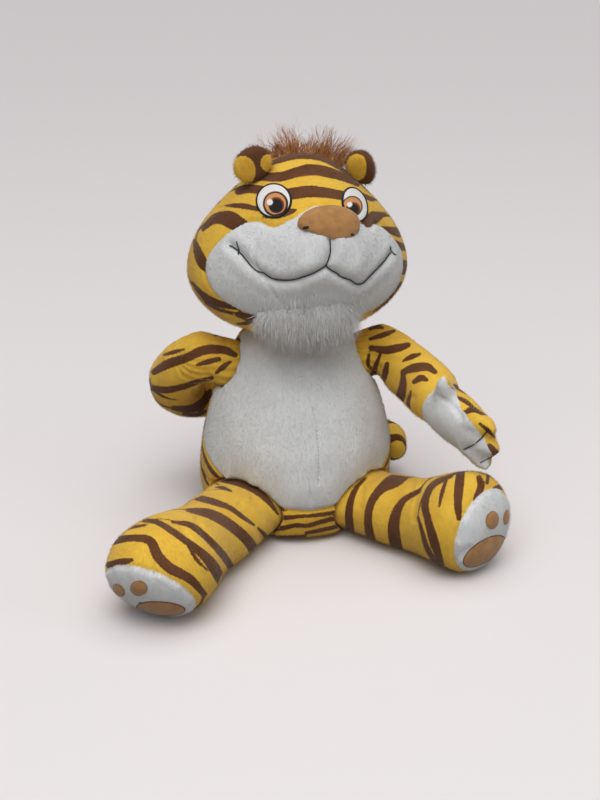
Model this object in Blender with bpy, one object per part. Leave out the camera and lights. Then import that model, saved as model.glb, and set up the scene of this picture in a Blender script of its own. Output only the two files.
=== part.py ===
"""Seated plush tiger: sewn fabric covers over stuffing, with the head, arms, legs, tail and ears as forms
of their own. Each root is a ball that turns in a hollow of the body, where the real toy has a sewn seam.

Frame: metres, +Z up. The tiger sits on the XY plane with the middle of its seat at the origin and faces -Y,
so its left side is +X. A name that ends in share or shares is a share of the size it is used with.
"""
import math

import bmesh
import bpy
import numpy as np
from mathutils import Matrix, Vector
from mathutils.bvhtree import BVHTree

# Fabric and clear spaces
FABRIC = 0.0025
GAP = 0.0003
SOCKET_GAP = 0.0004
STUFFING_GAP = 0.0009
FLAT_DEPTH = 0.0005
OVERRUN = 0.004

# Body, from the seat to the neck seam
BODY_HEIGHT = 0.165
BODY_WIDTH = 0.160
BODY_FRONT = 0.075
BODY_BACK = 0.064
NECK_RADIUS = 0.035
BELLY_SIDE_HEIGHT = 0.043
BELLY_FRONT_HEIGHT = 0.031
BELLY_SEAM_BACK = 0.004

# Head, from the neck seam to the crown
HEAD_HEIGHT = 0.136
HEAD_WIDTH = 0.178
HEAD_FRONT = 0.076
HEAD_BACK = 0.066
HEAD_TURN = math.radians(5.5)
HEAD_TILT = math.radians(3.2)
MUZZLE_REACH = 0.020
MUZZLE_SPREAD = 0.023
BRIDGE_REACH = 0.022
NOSE_WIDTH = 0.050
NOSE_HEIGHT = 0.029
NOSE_THICKNESS = 0.020
EYE_WIDTH = 0.026
EYE_HEIGHT = 0.029
EYE_THICKNESS = 0.0012
EYE_DEPTH = 0.006
RUFF_WIDTH = 0.100
RUFF_HEIGHT = 0.052
RUFF_DEPTH = 0.050
TUFT_LENGTH = 0.060
TUFT_WIDTH = 0.024
TUFT_HEIGHT = 0.022
EAR_WIDTH = 0.032
EAR_HEIGHT = 0.027
EAR_THICKNESS = 0.013

# Arms and hands
SHOULDER_RADIUS = 0.020
SHOULDER_SINK = 0.004
ARM_RADIUS = 0.0225
WRIST_RADIUS = 0.0185
BACK_CLEARANCE = 0.004
PALM_LENGTH = 0.048
PALM_WIDTH = 0.044
PALM_THICKNESS = 0.036
FINGER_LENGTH = 0.026
FINGER_RADIUS = 0.0095
THUMB_LENGTH = 0.046
THUMB_RADIUS = 0.0090
HAND_CLEARANCE = 0.0015
LEFT_HAND_TURN = math.radians(8)

# Legs and feet
HIP_RADIUS = 0.036
HIP_HALF_HEIGHT = 0.0255
HIP_SINK = 0.007
THIGH_RADIUS = 0.0340
THIGH_HALF_HEIGHT = 0.0270
ANKLE_RADIUS = 0.0300
FOOT_RADIUS = 0.0410
SOLE_RADIUS = 0.0360
SOLE_CROWN = 0.009
RIGHT_LEG_LENGTH = 0.156
LEFT_LEG_LENGTH = 0.116
RIGHT_FOOT_DROP = math.radians(36)
LEFT_FOOT_DROP = math.radians(5)
TOE_PAD_WIDTH = 0.0135
TOE_PAD_HEIGHT = 0.0175
HEEL_PAD_WIDTH = 0.044
HEEL_PAD_HEIGHT = 0.022
PAD_THICKNESS = 0.0012

# Tail
TAIL_ROOT_RADIUS = 0.0185
TAIL_SINK = 0.003
TAIL_RADIUS = 0.0175
TAIL_CLEARANCE = 0.006

# Colours: red, green, blue
YELLOW = (0.83, 0.52, 0.06)
WHITE = (0.76, 0.76, 0.74)
BROWN = (0.16, 0.065, 0.035)
TAN = (0.62, 0.36, 0.14)
HAIR = (0.33, 0.12, 0.04)
FILLING = (0.85, 0.85, 0.83)
EYE = (0.72, 0.36, 0.08)

# Height, half width, front depth and back depth of the body from the seat up
BODY_SHARES = (
    (0.000, 0.70, 0.76, 0.70),
    (0.022, 0.86, 0.90, 0.86),
    (0.090, 0.96, 0.98, 0.95),
    (0.220, 1.00, 1.00, 1.00),
    (0.330, 1.00, 1.00, 1.00),
    (0.450, 0.97, 0.95, 0.96),
    (0.600, 0.90, 0.85, 0.87),
    (0.720, 0.83, 0.74, 0.79),
    (0.830, 0.74, 0.64, 0.71),
    (0.920, 0.64, 0.56, 0.64),
    (0.975, 0.54, 0.51, 0.58),
)

# The same for the head, from the neck seam to just under the crown
HEAD_SHARES = (
    (0.020, 0.515, 0.54, 0.63),
    (0.060, 0.655, 0.68, 0.77),
    (0.145, 0.83, 0.85, 0.89),
    (0.235, 0.955, 0.95, 0.96),
    (0.325, 1.00, 1.00, 1.00),
    (0.420, 0.985, 1.00, 1.00),
    (0.510, 0.94, 0.96, 0.97),
    (0.610, 0.85, 0.87, 0.91),
    (0.710, 0.715, 0.76, 0.83),
    (0.805, 0.56, 0.60, 0.70),
    (0.885, 0.43, 0.45, 0.55),
    (0.945, 0.31, 0.31, 0.39),
    (0.985, 0.165, 0.16, 0.20),
)

# Seam of the white face panel on the left side: shares of the head's half width and height, from the nose down
FACE_SEAM_SHARES = (
    (0.12, 0.700),
    (0.30, 0.722),
    (0.38, 0.690),
    (0.50, 0.674),
    (0.62, 0.655),
    (0.74, 0.595),
    (0.84, 0.500),
    (0.875, 0.410),
    (0.855, 0.320),
    (0.77, 0.230),
    (0.62, 0.165),
    (0.42, 0.110),
)

# Each eye's place over the head's half width and height; stuffing has pushed the two unevenly
EYE_PLACE_SHARES = {"left": (0.335, 0.79), "right": (-0.38, 0.795)}
NOSE_PLACE_SHARE = 0.720
NOSE_DEPTH_SHARE = 0.70
NOSE_LEAN = math.radians(-28)
# The muzzle's lobes and the bridge of the nose: how high up the head, how far they fade up and down, and sideways
LOBE_SHARES = (0.55, 0.12, 0.75)
BRIDGE_SHARES = (0.74, 0.09)
FACE_BEND_SHARE = 0.38
FACE_CUT_SHARE = 0.12
MUZZLE_ROOT_SHARE = 0.4
TILT_START_SHARE = 0.1
TILT_END_SHARE = 1.3 / 3
RUFF_PLACE_SHARES = (0.72, 0.20)
EAR_PLACE_SHARES = (0.41, -0.14)
EAR_EDGE_SHARES = ((1.0, 0.0), (1.0, 0.25), (0.95, 0.55), (0.80, 0.85), (0.45, 0.98))
EAR_FOLDS = {"left": math.radians(30), "right": math.radians(8)}
SHOULDER_HEIGHT_SHARE = 0.830
ARM_LEAD_SHARE = 0.85
ARM_ROOT_SHARE = 0.99
HIP_ANGLES = {"left": math.radians(45), "right": math.radians(47)}
LEG_ANGLES = {"left": math.radians(37), "right": math.radians(32)}
TAIL_SIDE_SHARE = 0.10
TAIL_LIFT_SHARE = 0.85
TAIL_TIP_SHARE = 0.25

# A hand's mitt from the wrist to the fingers: shares of its length, width and thickness
MITT_SHARES = (
    (0.00, 0.82, 1.00),
    (0.20, 0.92, 1.02),
    (0.50, 1.00, 1.00),
    (0.80, 0.92, 0.80),
    (1.00, 0.62, 0.50),
)
# Each finger's place across the palm and into its thickness, and how far its tip is drawn back from the palm's end
FINGER_PLACE_SHARES = (0.29, 0.06)
FINGER_DRAW_SHARES = (0.3, 0.5)
THUMB_PLACE_SHARES = (0.40, 0.24, 0.26)
PALM_TIP_SHARE = 1.05
FINGER_SPREAD = 0.15
LEFT_PALM_WAY = Vector((-0.86, -0.50, 0.02))
RIGHT_HAND_WAY = Vector((1, 0.06, 0))
RIGHT_PALM_WAY = Vector((0, -1, 0))
THUMB_TURN = math.radians(80)

# The right arm goes round behind the back. Places from the upper arm to the wrist: shares of the body's half
# width, of the way back to where the hand lies behind the body, and of the shoulder's height
BENT_ARM_SHARES = (
    (1.05, 0.15, 0.985),
    (1.21, 0.36, 0.840),
    (1.13, 0.61, 0.700),
    (0.88, 0.82, 0.630),
    (0.64, 0.92, 0.610),
)

# The left arm goes down to the left foot. Shares of the way from the shoulder to the wrist, of that way's length
# that it bows outwards and that it lies above the straight line
STRAIGHT_ARM_SHARES = (
    (0.34, 0.19, 0.01),
    (0.62, 0.15, 0.00),
    (0.85, 0.07, 0.00),
    (1.00, 0.00, 0.00),
)
# Where the left hand rests on the foot: how much of the palm stands over it, and how far to its side
REST_SHARES = (0.37, -0.16)
KNUCKLE_SHARE = 0.8

# A leg from its thigh to the sole's seam: shares of its length, half width and half height there and the share of
# the foot's drop
LEG_SHARES = (
    (0.30, THIGH_RADIUS, THIGH_HALF_HEIGHT, 0.0),
    (0.54, ANKLE_RADIUS, ANKLE_RADIUS, 0.1),
    (0.80, FOOT_RADIUS * 0.96, FOOT_RADIUS * 0.94, 0.5),
    (0.95, FOOT_RADIUS, FOOT_RADIUS * 0.98, 0.85),
    (1.00, SOLE_RADIUS, SOLE_RADIUS, 1.0),
)
# The sole panel's rings: how wide and how far out
SOLE_SHARES = ((0.97, 0.30), (0.80, 0.72), (0.45, 0.95))
# Where each pad's middle lies on the sole, across and up
PAD_PLACE_SHARES = {"toe_inner": (0.30, 0.16), "toe_outer": (0.74, 0.16), "heel": (0.02, -0.55)}

# The tail from its root round to the left: shares of the way clear of the body's side and back, and of its radius
TAIL_SHARES = (
    (0.12, 1.00, 1.00),
    (0.34, 1.08, 1.00),
    (0.66, 1.03, 1.00),
    (0.87, 0.80, 1.00),
    (0.93, 0.56, 0.95),
    (0.92, 0.38, 0.60),
)

BODY_AROUND = 20
BODY_UP = 9
HEAD_AROUND = 24
HEAD_UP = 11
LIMB_AROUND = 12
BALL_AROUND = 16
BALL_UP = 8
ARM_STEPS = 8
LEG_STEPS = 8
TAIL_STEPS = 8
EVEN_TURNS = 3
FINE_STEPS = 12
ROOT_OPEN_ANGLE = math.radians(40)
ROOT_END_ANGLE = math.radians(110)
NECK_HEIGHT = BODY_HEIGHT + GAP
UP = Vector((0, 0, 1))


def clear_scene():
    for item in list(bpy.data.objects):
        bpy.data.objects.remove(item)


def plush_material(name, colour):
    material = bpy.data.materials.new(name)
    material.use_nodes = True
    shader = material.node_tree.nodes["Principled BSDF"]
    shader.inputs["Base Color"].default_value = (*colour, 1.0)
    shader.inputs["Roughness"].default_value = 0.9
    shader.inputs["Metallic"].default_value = 0.0
    return material


def add_piece(name, mesh, colour, joint=None):
    """A named piece of the toy; where it turns, it hangs under the empty on its joint's axis."""
    mesh.materials.clear()
    mesh.materials.append(plush_material(name + "_plush", colour))
    mesh.shade_smooth()
    mesh.set_sharp_from_angle(angle=math.radians(40))
    piece = bpy.data.objects.new(name, mesh)
    bpy.context.scene.collection.objects.link(piece)
    if joint:
        piece.parent = joint
        piece.matrix_parent_inverse = joint.matrix_world.inverted()
    return piece


def add_joint(name, place, axis):
    """An empty on a joint's axis, with its own Z along the axis."""
    empty = bpy.data.objects.new(name, None)
    empty.matrix_world = Matrix.Translation(place) @ Vector(axis).to_track_quat("Z", "Y").to_matrix().to_4x4()
    bpy.context.scene.collection.objects.link(empty)
    return empty


def smooth_rows(rows, count):
    """Rows of numbers read from one smooth curve through the given rows."""
    rows = np.array(rows, float)
    padded = np.vstack((2 * rows[0] - rows[1], rows, 2 * rows[-1] - rows[-2]))
    result = []
    for place in np.linspace(0, len(rows) - 1, count):
        index = min(int(place), len(rows) - 2)
        t = place - index
        a, b, c, d = padded[index:index + 4]
        result.append((2 * b + (c - a) * t + (2 * a - 5 * b + 4 * c - d) * t ** 2
                       + (3 * b - a - 3 * c + d) * t ** 3) / 2)
    return result


def skin_mesh(name, rows, closed=False):
    """A mesh over rows of points. A row of one point closes an end; closed joins the last row to the first."""
    work = bmesh.new()
    made = [[work.verts.new(point) for point in row] for row in rows]
    pairs = list(zip(made, made[1:]))
    if closed:
        pairs.append((made[-1], made[0]))
    for low, high in pairs:
        count = max(len(low), len(high))
        for i in range(count):
            j = (i + 1) % count
            if len(low) == 1:
                work.faces.new((low[0], high[j], high[i]))
            elif len(high) == 1:
                work.faces.new((low[i], low[j], high[0]))
            elif (low[i].co - high[j].co).length < (low[j].co - high[i].co).length:
                work.faces.new((low[i], low[j], high[j]))
                work.faces.new((low[i], high[j], high[i]))
            else:
                work.faces.new((low[i], low[j], high[i]))
                work.faces.new((low[j], high[j], high[i]))
    bmesh.ops.recalc_face_normals(work, faces=work.faces)
    mesh = bpy.data.meshes.new(name)
    work.to_mesh(mesh)
    work.free()
    return mesh


def middle_of(row):
    return sum(row, Vector()) / len(row)


def drawn_in(rows, inset, level=()):
    """Rows moved inwards, square to their surface. The rows in level, such as open ends and the rings of a bent
    limb, keep their own plane. No point goes lower than the inset, because the toy rests on the plane at zero."""
    result = []
    core = middle_of([middle_of(row) for row in rows])
    for i, row in enumerate(rows):
        before = rows[i - 1] if i > 0 else row
        after = rows[i + 1] if i + 1 < len(rows) else row
        if len(row) == 1:
            ring = after if len(after) > 1 else before
            normal = sum((((a - row[0]).cross(b - row[0])) for a, b in zip(ring, ring[1:] + ring[:1])), Vector())
            normal.normalize()
            if normal.dot(row[0] - core) < 0:
                normal.negate()
            moved = [row[0] - normal * inset]
        else:
            moved = []
            count = len(row)
            middle = middle_of(row)
            for j, point in enumerate(row):
                along = after[j % len(after)] - before[j % len(before)]
                around = row[(j + 1) % count] - row[j - 1]
                normal = around.cross(along)
                if i in level:
                    plane = (row[1] - row[0]).cross(row[count // 3] - row[0]).normalized()
                    normal = point - middle
                    normal -= normal.dot(plane) * plane
                normal.normalize()
                if normal.dot(point - middle) < 0:
                    normal.negate()
                moved.append(point - normal * inset)
        result.append([Vector((point.x, point.y, max(point.z, inset, 0))) for point in moved])
    return result


def guide(name, mesh):
    """A cutter, which is no piece of the toy."""
    piece = bpy.data.objects.new(name, mesh)
    piece.hide_render = True
    piece.display_type = "WIRE"
    bpy.context.scene.collection.objects.link(piece)
    return piece


def cut(mesh, cutters, operation="DIFFERENCE"):
    """The mesh after a Boolean with each cutter, one after the other."""
    piece = guide("cut_" + mesh.name, mesh)
    for cutter in cutters:
        modifier = piece.modifiers.new("cut", "BOOLEAN")
        modifier.operation = operation
        modifier.object = cutter
    graph = bpy.context.evaluated_depsgraph_get()
    result = bpy.data.meshes.new_from_object(piece.evaluated_get(graph))
    bpy.data.objects.remove(piece)
    return result


def oval(height, half_width, front, back, count):
    """A level ring of points whose front half is as deep as front and whose back half is as deep as back."""
    points = []
    for turn in np.linspace(0, math.tau, count, endpoint=False):
        depth = back if math.sin(turn) > 0 else front
        points.append(Vector((half_width * math.cos(turn), depth * math.sin(turn), height)))
    return points


def oval_mesh(name, place, sizes, around=16, up=8):
    """An oval form of the given width, depth and height, in the frame of place."""
    rows = [[Vector((0, 0, -sizes[2] / 2))]]
    for k in range(1, up):
        angle = math.pi * k / up - math.pi / 2
        half = math.cos(angle) / 2
        rows.append(oval(math.sin(angle) * sizes[2] / 2, half * sizes[0], half * sizes[1], half * sizes[1], around))
    rows.append([Vector((0, 0, sizes[2] / 2))])
    return skin_mesh(name, [[place @ point for point in row] for row in rows])


def ball_guide(name, centre, radius, half_height):
    """A ball, or a flattened one, whose facets are no nearer to its centre than its sizes."""
    over = 1 / (math.cos(math.pi / BALL_AROUND) * math.cos(math.pi / BALL_UP / 2))
    sizes = (2 * radius * over, 2 * radius * over, 2 * half_height * over)
    return guide(name, oval_mesh(name, Matrix.Translation(centre), sizes, BALL_AROUND, BALL_UP))


def prism_guide(name, outline, near, far):
    """A flat outline of points carried from the near offset to the far one."""
    middle = middle_of(outline)
    rows = [[middle + near], [p + near for p in outline], [p + far for p in outline], [middle + far]]
    return guide(name, skin_mesh(name, rows))


def coarse(rows):
    """Rows with every second point, for what lies hidden inside."""
    return [row if len(row) == 1 else row[::2] for row in rows]


# The body: a striped cover and a white belly panel over stuffing

def body_size(height):
    """Half width, front depth and back depth of the body at a height."""
    table = np.array(BODY_SHARES)
    width, front, back = (np.interp(height / BODY_HEIGHT, table[:, 0], table[:, k]) for k in (1, 2, 3))
    return width * BODY_WIDTH / 2, front * BODY_FRONT, back * BODY_BACK


def body_rows():
    """Rings of the body from the flat seat up to the neck seam."""
    rows = [[Vector((0, 0, 0))]]
    for share, width, front, back in smooth_rows(BODY_SHARES, BODY_UP):
        rows.append(oval(share * BODY_HEIGHT, width * BODY_WIDTH / 2, front * BODY_FRONT, back * BODY_BACK,
                         BODY_AROUND))
    rows.append(oval(BODY_HEIGHT, NECK_RADIUS, NECK_RADIUS, NECK_RADIUS, BODY_AROUND))
    return rows


def belly_guide(name, grow):
    """The room of the belly panel: in front of the side seams and above the seam under the belly."""
    seam = BELLY_SEAM_BACK + grow
    reach = BODY_FRONT + OVERRUN
    side = BELLY_SIDE_HEIGHT - grow
    fall = (BELLY_SIDE_HEIGHT - BELLY_FRONT_HEIGHT) / BODY_FRONT
    corner = BELLY_SIDE_HEIGHT / 4
    top = BODY_HEIGHT + OVERRUN
    outline = [Vector((0, -reach, side - fall * reach)),
               Vector((0, seam - corner, side)),
               Vector((0, seam - corner / 4, side + corner / 4)),
               Vector((0, seam, side + corner)),
               Vector((0, seam, top)),
               Vector((0, -reach, top))]
    half = Vector((BODY_WIDTH / 2 + OVERRUN, 0, 0))
    return prism_guide(name, outline, -half, half)


def build_body(sockets):
    outer = body_rows()
    neck = len(outer) - 1
    shell = skin_mesh("body_shell", outer + drawn_in(outer, FABRIC, [neck])[::-1])
    panel = cut(shell.copy(), [belly_guide("belly_room", 0)], "INTERSECT")
    add_piece("belly_panel", cut(panel, sockets), WHITE)
    add_piece("body_cover", cut(shell, [belly_guide("belly_space", GAP)] + sockets), YELLOW)
    inner = coarse(drawn_in(outer, FABRIC + STUFFING_GAP, [neck]))
    filling = skin_mesh("body_filling", inner + [[middle_of(inner[-1])]])
    add_piece("body_stuffing", cut(filling, sockets), FILLING)


# The head: a striped cover and a white face panel over stuffing, with what is sewn on it

def muzzle_reach(point):
    """How far the muzzle's two lobes and the bridge of the nose stand out at a point of the straight head."""
    rise = (point.z - NECK_HEIGHT) / HEAD_HEIGHT
    place, fade, spread = LOBE_SHARES
    lobes = sum(math.exp(-((point.x / MUZZLE_SPREAD - side) / spread) ** 2 / 2) for side in (-1, 1))
    lobes *= math.exp(-((rise - place) / fade) ** 2 / 2)
    place, fade = BRIDGE_SHARES
    bridge = math.exp(-(point.x / MUZZLE_SPREAD) ** 2 / 2 - ((rise - place) / fade) ** 2 / 2)
    return MUZZLE_REACH * lobes + BRIDGE_REACH * bridge


def head_place(point):
    """Turns and tilts a point of the straight head about the neck; the tilt fades out down to the neck."""
    rise = (point.z - NECK_HEIGHT) / HEAD_HEIGHT
    tilt = HEAD_TILT * min(1, max(0, (rise - TILT_START_SHARE) / (TILT_END_SHARE - TILT_START_SHARE)))
    neck = UP * NECK_HEIGHT
    return Matrix.Rotation(HEAD_TURN, 3, "Z") @ Matrix.Rotation(tilt, 3, "Y") @ (point - neck) + neck


def head_rows():
    """Rings of the head from the neck seam to the crown."""
    rings = [oval(NECK_HEIGHT, NECK_RADIUS, NECK_RADIUS, NECK_RADIUS, HEAD_AROUND)]
    for share, width, front, back in smooth_rows(HEAD_SHARES, HEAD_UP):
        ring = oval(NECK_HEIGHT + share * HEAD_HEIGHT, width * HEAD_WIDTH / 2, front * HEAD_FRONT, back * HEAD_BACK,
                    HEAD_AROUND)
        for point in ring:
            if point.y < 0:
                point.y -= muzzle_reach(point) * min(1, -point.y / (MUZZLE_ROOT_SHARE * HEAD_FRONT))
        rings.append(ring)
    rings.append([Vector((0, 0, NECK_HEIGHT + HEAD_HEIGHT))])
    return [[head_place(point) for point in ring] for ring in rings]


def head_solid(name, inset, thinned=False):
    """The whole head as one closed form, drawn in by the inset or, below zero, grown."""
    rows = drawn_in(head_rows(), inset, [0])
    if thinned:
        rows = coarse(rows)
    return skin_mesh(name, [[middle_of(rows[0])]] + rows)


def face_way():
    return Matrix.Rotation(HEAD_TURN, 3, "Z") @ Vector((0, -1, 0))


def head_prism(name, outline, near_depth):
    """A prism through the front of the head, over an outline of places on the straight head."""
    points = [head_place(Vector((x, 0, z))) for x, z in outline]
    far = HEAD_FRONT + 2 * MUZZLE_REACH + BRIDGE_REACH
    return prism_guide(name, points, face_way() * near_depth, face_way() * far)


def face_guide(name, grow):
    half = HEAD_WIDTH / 2
    left = []
    for x, z in FACE_SEAM_SHARES:
        way = 1 if z > FACE_BEND_SHARE else -1
        left.append((x * half + grow, NECK_HEIGHT + z * HEAD_HEIGHT + way * grow))
    return head_prism(name, left + [(-x, z) for x, z in left[::-1]], HEAD_FRONT * FACE_CUT_SHARE - grow)


def oval_outline(x, z, width, height, count=14):
    return [(x + width / 2 * math.cos(turn), z + height / 2 * math.sin(turn))
            for turn in np.linspace(0, math.tau, count, endpoint=False)]


def skin_spot(head_skin, start, way):
    """Where a line from inside the head leaves its skin, and the way out square to the skin there."""
    spot, normal, _, _ = head_skin.ray_cast(start, way)
    return spot, normal if normal.dot(way) > 0 else -normal


def ear_frame(side, head_skin):
    """An ear's frame: its origin on the fold's axis, X along the sewn edge, Z away from the head."""
    place = Vector((side * EAR_PLACE_SHARES[0] * HEAD_WIDTH / 2, EAR_PLACE_SHARES[1] * HEAD_FRONT,
                    NECK_HEIGHT + HEAD_HEIGHT / 2))
    start = head_place(place)
    over = head_place(place + UP * HEAD_HEIGHT)
    spot, normal = skin_spot(head_skin, start, (over - start).normalized())
    away = Vector((normal.x, 0, normal.z)).normalized()
    along = away.cross(Vector((0, -1, 0))).normalized()
    centre = spot + normal * (EAR_THICKNESS / 2 + GAP)
    frame = Matrix((along, away.cross(along), away)).transposed().to_4x4()
    fold = EAR_FOLDS["left" if side > 0 else "right"]
    return Matrix.Translation(centre) @ frame @ Matrix.Rotation(fold, 4, "X")


def build_eye(name, place_shares, layer, head_skin):
    """An eye sewn flat on the forehead, oval as seen square to the skin."""
    start = Vector((place_shares[0] * HEAD_WIDTH / 2, 0, NECK_HEIGHT + place_shares[1] * HEAD_HEIGHT))
    spot, normal = skin_spot(head_skin, head_place(start), face_way())
    across = UP.cross(normal).normalized()
    rise = normal.cross(across)
    outline = [spot + across * a + rise * b for a, b in oval_outline(0, 0, EYE_WIDTH, EYE_HEIGHT)]
    room = prism_guide(name + "_room", outline, normal * -EYE_DEPTH, normal * EYE_DEPTH)
    return cut(layer.copy(), [room], "INTERSECT")


def build_ear(name, side, head_skin):
    """A stuffed ear in two halves, yellow in front and brown behind, on a rounded sewn edge."""
    frame = ear_frame(side, head_skin)
    joint = add_joint(name + "_fold", frame.to_translation(), frame.col[0].to_3d())
    lift = (EAR_HEIGHT - EAR_THICKNESS) / 2
    for half, way, colour in (("front", -1, YELLOW), ("back", 1, BROWN)):
        rows = [[Vector((0, way * GAP / 2, lift))]]
        for reach, depth in EAR_EDGE_SHARES:
            thick = way * (GAP + (EAR_THICKNESS - GAP) * depth) / 2
            rows.append([Vector((x, thick, z + lift))
                         for x, z in oval_outline(0, 0, EAR_WIDTH * reach, EAR_HEIGHT * reach)])
        rows.append([Vector((0, way * EAR_THICKNESS / 2, lift))])
        rows = [[frame @ point for point in row] for row in rows]
        add_piece(f"{name}_{half}", skin_mesh(f"{name}_{half}", rows), colour, joint)


def body_sweep(name, grow):
    """A turned form about the neck that holds the body's top at every turn of the head."""
    rows = [[Vector((0, 0, BODY_HEIGHT / 2))]]
    for share in (0.5, 0.6, 0.7, 0.78, 0.86, 0.92, 0.95, 0.975):
        radius = max(body_size(share * BODY_HEIGHT)) + grow
        rows.append(oval(share * BODY_HEIGHT + grow, radius, radius, radius, BODY_AROUND))
    radius = NECK_RADIUS + grow
    rows.append(oval(BODY_HEIGHT + grow, radius, radius, radius, BODY_AROUND))
    rows.append([Vector((0, 0, BODY_HEIGHT + grow))])
    return guide(name, skin_mesh(name, rows))


def build_head():
    joint = add_joint("neck_turn", (0, 0, BODY_HEIGHT), UP)
    outer = head_rows()
    shell = skin_mesh("head_shell", drawn_in(outer, FABRIC, [0])[::-1] + outer)
    add_piece("face_panel", cut(shell.copy(), [face_guide("face_room", 0)], "INTERSECT"), WHITE, joint)
    add_piece("head_cover", cut(shell, [face_guide("face_space", GAP)]), YELLOW, joint)
    add_piece("head_stuffing", head_solid("head_stuffing", FABRIC + STUFFING_GAP, True), FILLING, joint)

    near_head = guide("head_space", head_solid("head_space", -GAP))
    head_skin = BVHTree.FromPolygons([v.co for v in near_head.data.vertices],
                                     [p.vertices for p in near_head.data.polygons])
    nose_middle = head_place(Vector((0, -(HEAD_FRONT * NOSE_DEPTH_SHARE + BRIDGE_REACH), NECK_HEIGHT
                                     + NOSE_PLACE_SHARE * HEAD_HEIGHT)))
    lean = Matrix.Rotation(HEAD_TURN, 4, "Z") @ Matrix.Rotation(NOSE_LEAN, 4, "X")
    nose = oval_mesh("nose", Matrix.Translation(nose_middle) @ lean, (NOSE_WIDTH, NOSE_THICKNESS, NOSE_HEIGHT), 14)
    add_piece("nose", cut(nose, [near_head]), TAN, joint)

    layer_outer = drawn_in(outer, -GAP - EYE_THICKNESS, [0])
    layer = skin_mesh("eye_layer", drawn_in(outer, -GAP, [0])[::-1] + layer_outer)
    for side, place_shares in EYE_PLACE_SHARES.items():
        add_piece(f"eye_{side}", build_eye(f"eye_{side}", place_shares, layer, head_skin), EYE, joint)

    body_room = body_sweep("body_room", 10 * GAP)
    forward, rise = RUFF_PLACE_SHARES
    ruff_middle = face_way() * HEAD_FRONT * forward + UP * (NECK_HEIGHT + rise * HEAD_HEIGHT)
    ruff = oval_mesh("chin_ruff", Matrix.Translation(ruff_middle), (RUFF_WIDTH, RUFF_DEPTH, RUFF_HEIGHT))
    add_piece("chin_ruff", cut(ruff, [near_head, body_room]), WHITE, joint)

    crown = head_place(Vector((0, 0, NECK_HEIGHT + HEAD_HEIGHT)))
    tuft = oval_mesh("hair_tuft", Matrix.Translation(crown), (TUFT_LENGTH, TUFT_WIDTH, 2 * TUFT_HEIGHT), 12)
    add_piece("hair_tuft", cut(tuft, [near_head]), HAIR, joint)
    build_ear("ear_left", 1, head_skin)
    build_ear("ear_right", -1, head_skin)


# Limbs: each starts as a ball in a hollow of the body and goes on as a tube

def root_rows(root, radius, half_height, way):
    """Rings of the ball at a limb's root, from its open back to where the tube goes on."""
    side = way.cross(UP).normalized()
    rise = side.cross(way).normalized()
    rows = []
    for k in range(4):
        angle = ROOT_OPEN_ANGLE + (ROOT_END_ANGLE - ROOT_OPEN_ANGLE) * k / 4
        centre = root - way * radius * math.cos(angle)
        ring = tube_ring(centre, side, rise, radius * math.sin(angle), radius * math.sin(angle))
        rows.append([Vector((p.x, p.y, root.z + (p.z - root.z) * half_height / radius)) for p in ring])
    return rows


def tube_ring(centre, side, rise, half_width, half_height):
    return [centre + side * half_width * math.cos(turn) + rise * half_height * math.sin(turn)
            for turn in np.linspace(0, math.tau, LIMB_AROUND, endpoint=False)]


def limb_rows(root, radius, half_height, stops, steps, end_way=None):
    """Rings of a limb: its ball, then a tube along smooth stops of place, half width and half height.
    The rings turn evenly, so that none crosses the next in a bend. With an end way, the last ones turn to face it."""
    way = (Vector(stops[0][:3]) - root).normalized()
    start = root - way * radius * math.cos(ROOT_END_ANGLE)
    reach = math.sin(ROOT_END_ANGLE)
    stations = smooth_rows([(*start, reach * radius, reach * half_height)] + [tuple(stop) for stop in stops],
                           steps * FINE_STEPS)
    lengths = np.cumsum([0] + [math.dist(a[:3], b[:3]) for a, b in zip(stations, stations[1:])])
    stations = [stations[np.argmin(abs(lengths - length))] for length in np.linspace(0, lengths[-1], steps)]
    centres = [Vector(station[:3]) for station in stations]
    rows = root_rows(root, radius, half_height, way)
    facings = [way] + [(centres[min(i + 1, steps - 1)] - centres[i - 1]).normalized() for i in range(1, steps)]
    for _ in range(EVEN_TURNS):
        facings[1:-1] = [(a + b + c).normalized() for a, b, c in zip(facings, facings[1:], facings[2:])]
    for i, station in enumerate(stations):
        facing = facings[i]
        if end_way:
            share = max(0, (i - steps / 2) / (steps / 2 - 1))
            facing = facing.lerp(end_way, share).normalized()
        side = facing.cross(UP).normalized()
        rise = side.cross(facing).normalized()
        rows.append(tube_ring(centres[i], side, rise, station[3], station[4]))
    return [[Vector((p.x, p.y, max(p.z, 0))) for p in row] for row in rows]


def open_sleeve(name, rows):
    """A sleeve of fabric, open at both ends."""
    inner = drawn_in(rows, FABRIC, range(len(rows)))
    return skin_mesh(name, rows + inner[::-1], closed=True)


def filling(name, rows):
    """The stuffing of a sleeve, flat at both ends."""
    inner = drawn_in(rows, FABRIC + STUFFING_GAP, range(len(rows)))
    return skin_mesh(name, [[middle_of(inner[0])]] + inner + [[middle_of(inner[-1])]])


def hand_frame(wrist, along, palm_way):
    """A hand's frame: X towards the thumb, Y out of the palm, Z towards the fingertips."""
    along = along.normalized()
    palm = (palm_way - palm_way.dot(along) * along).normalized()
    return Matrix.Translation(wrist) @ Matrix((palm.cross(along), palm, along)).transposed().to_4x4()


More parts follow.
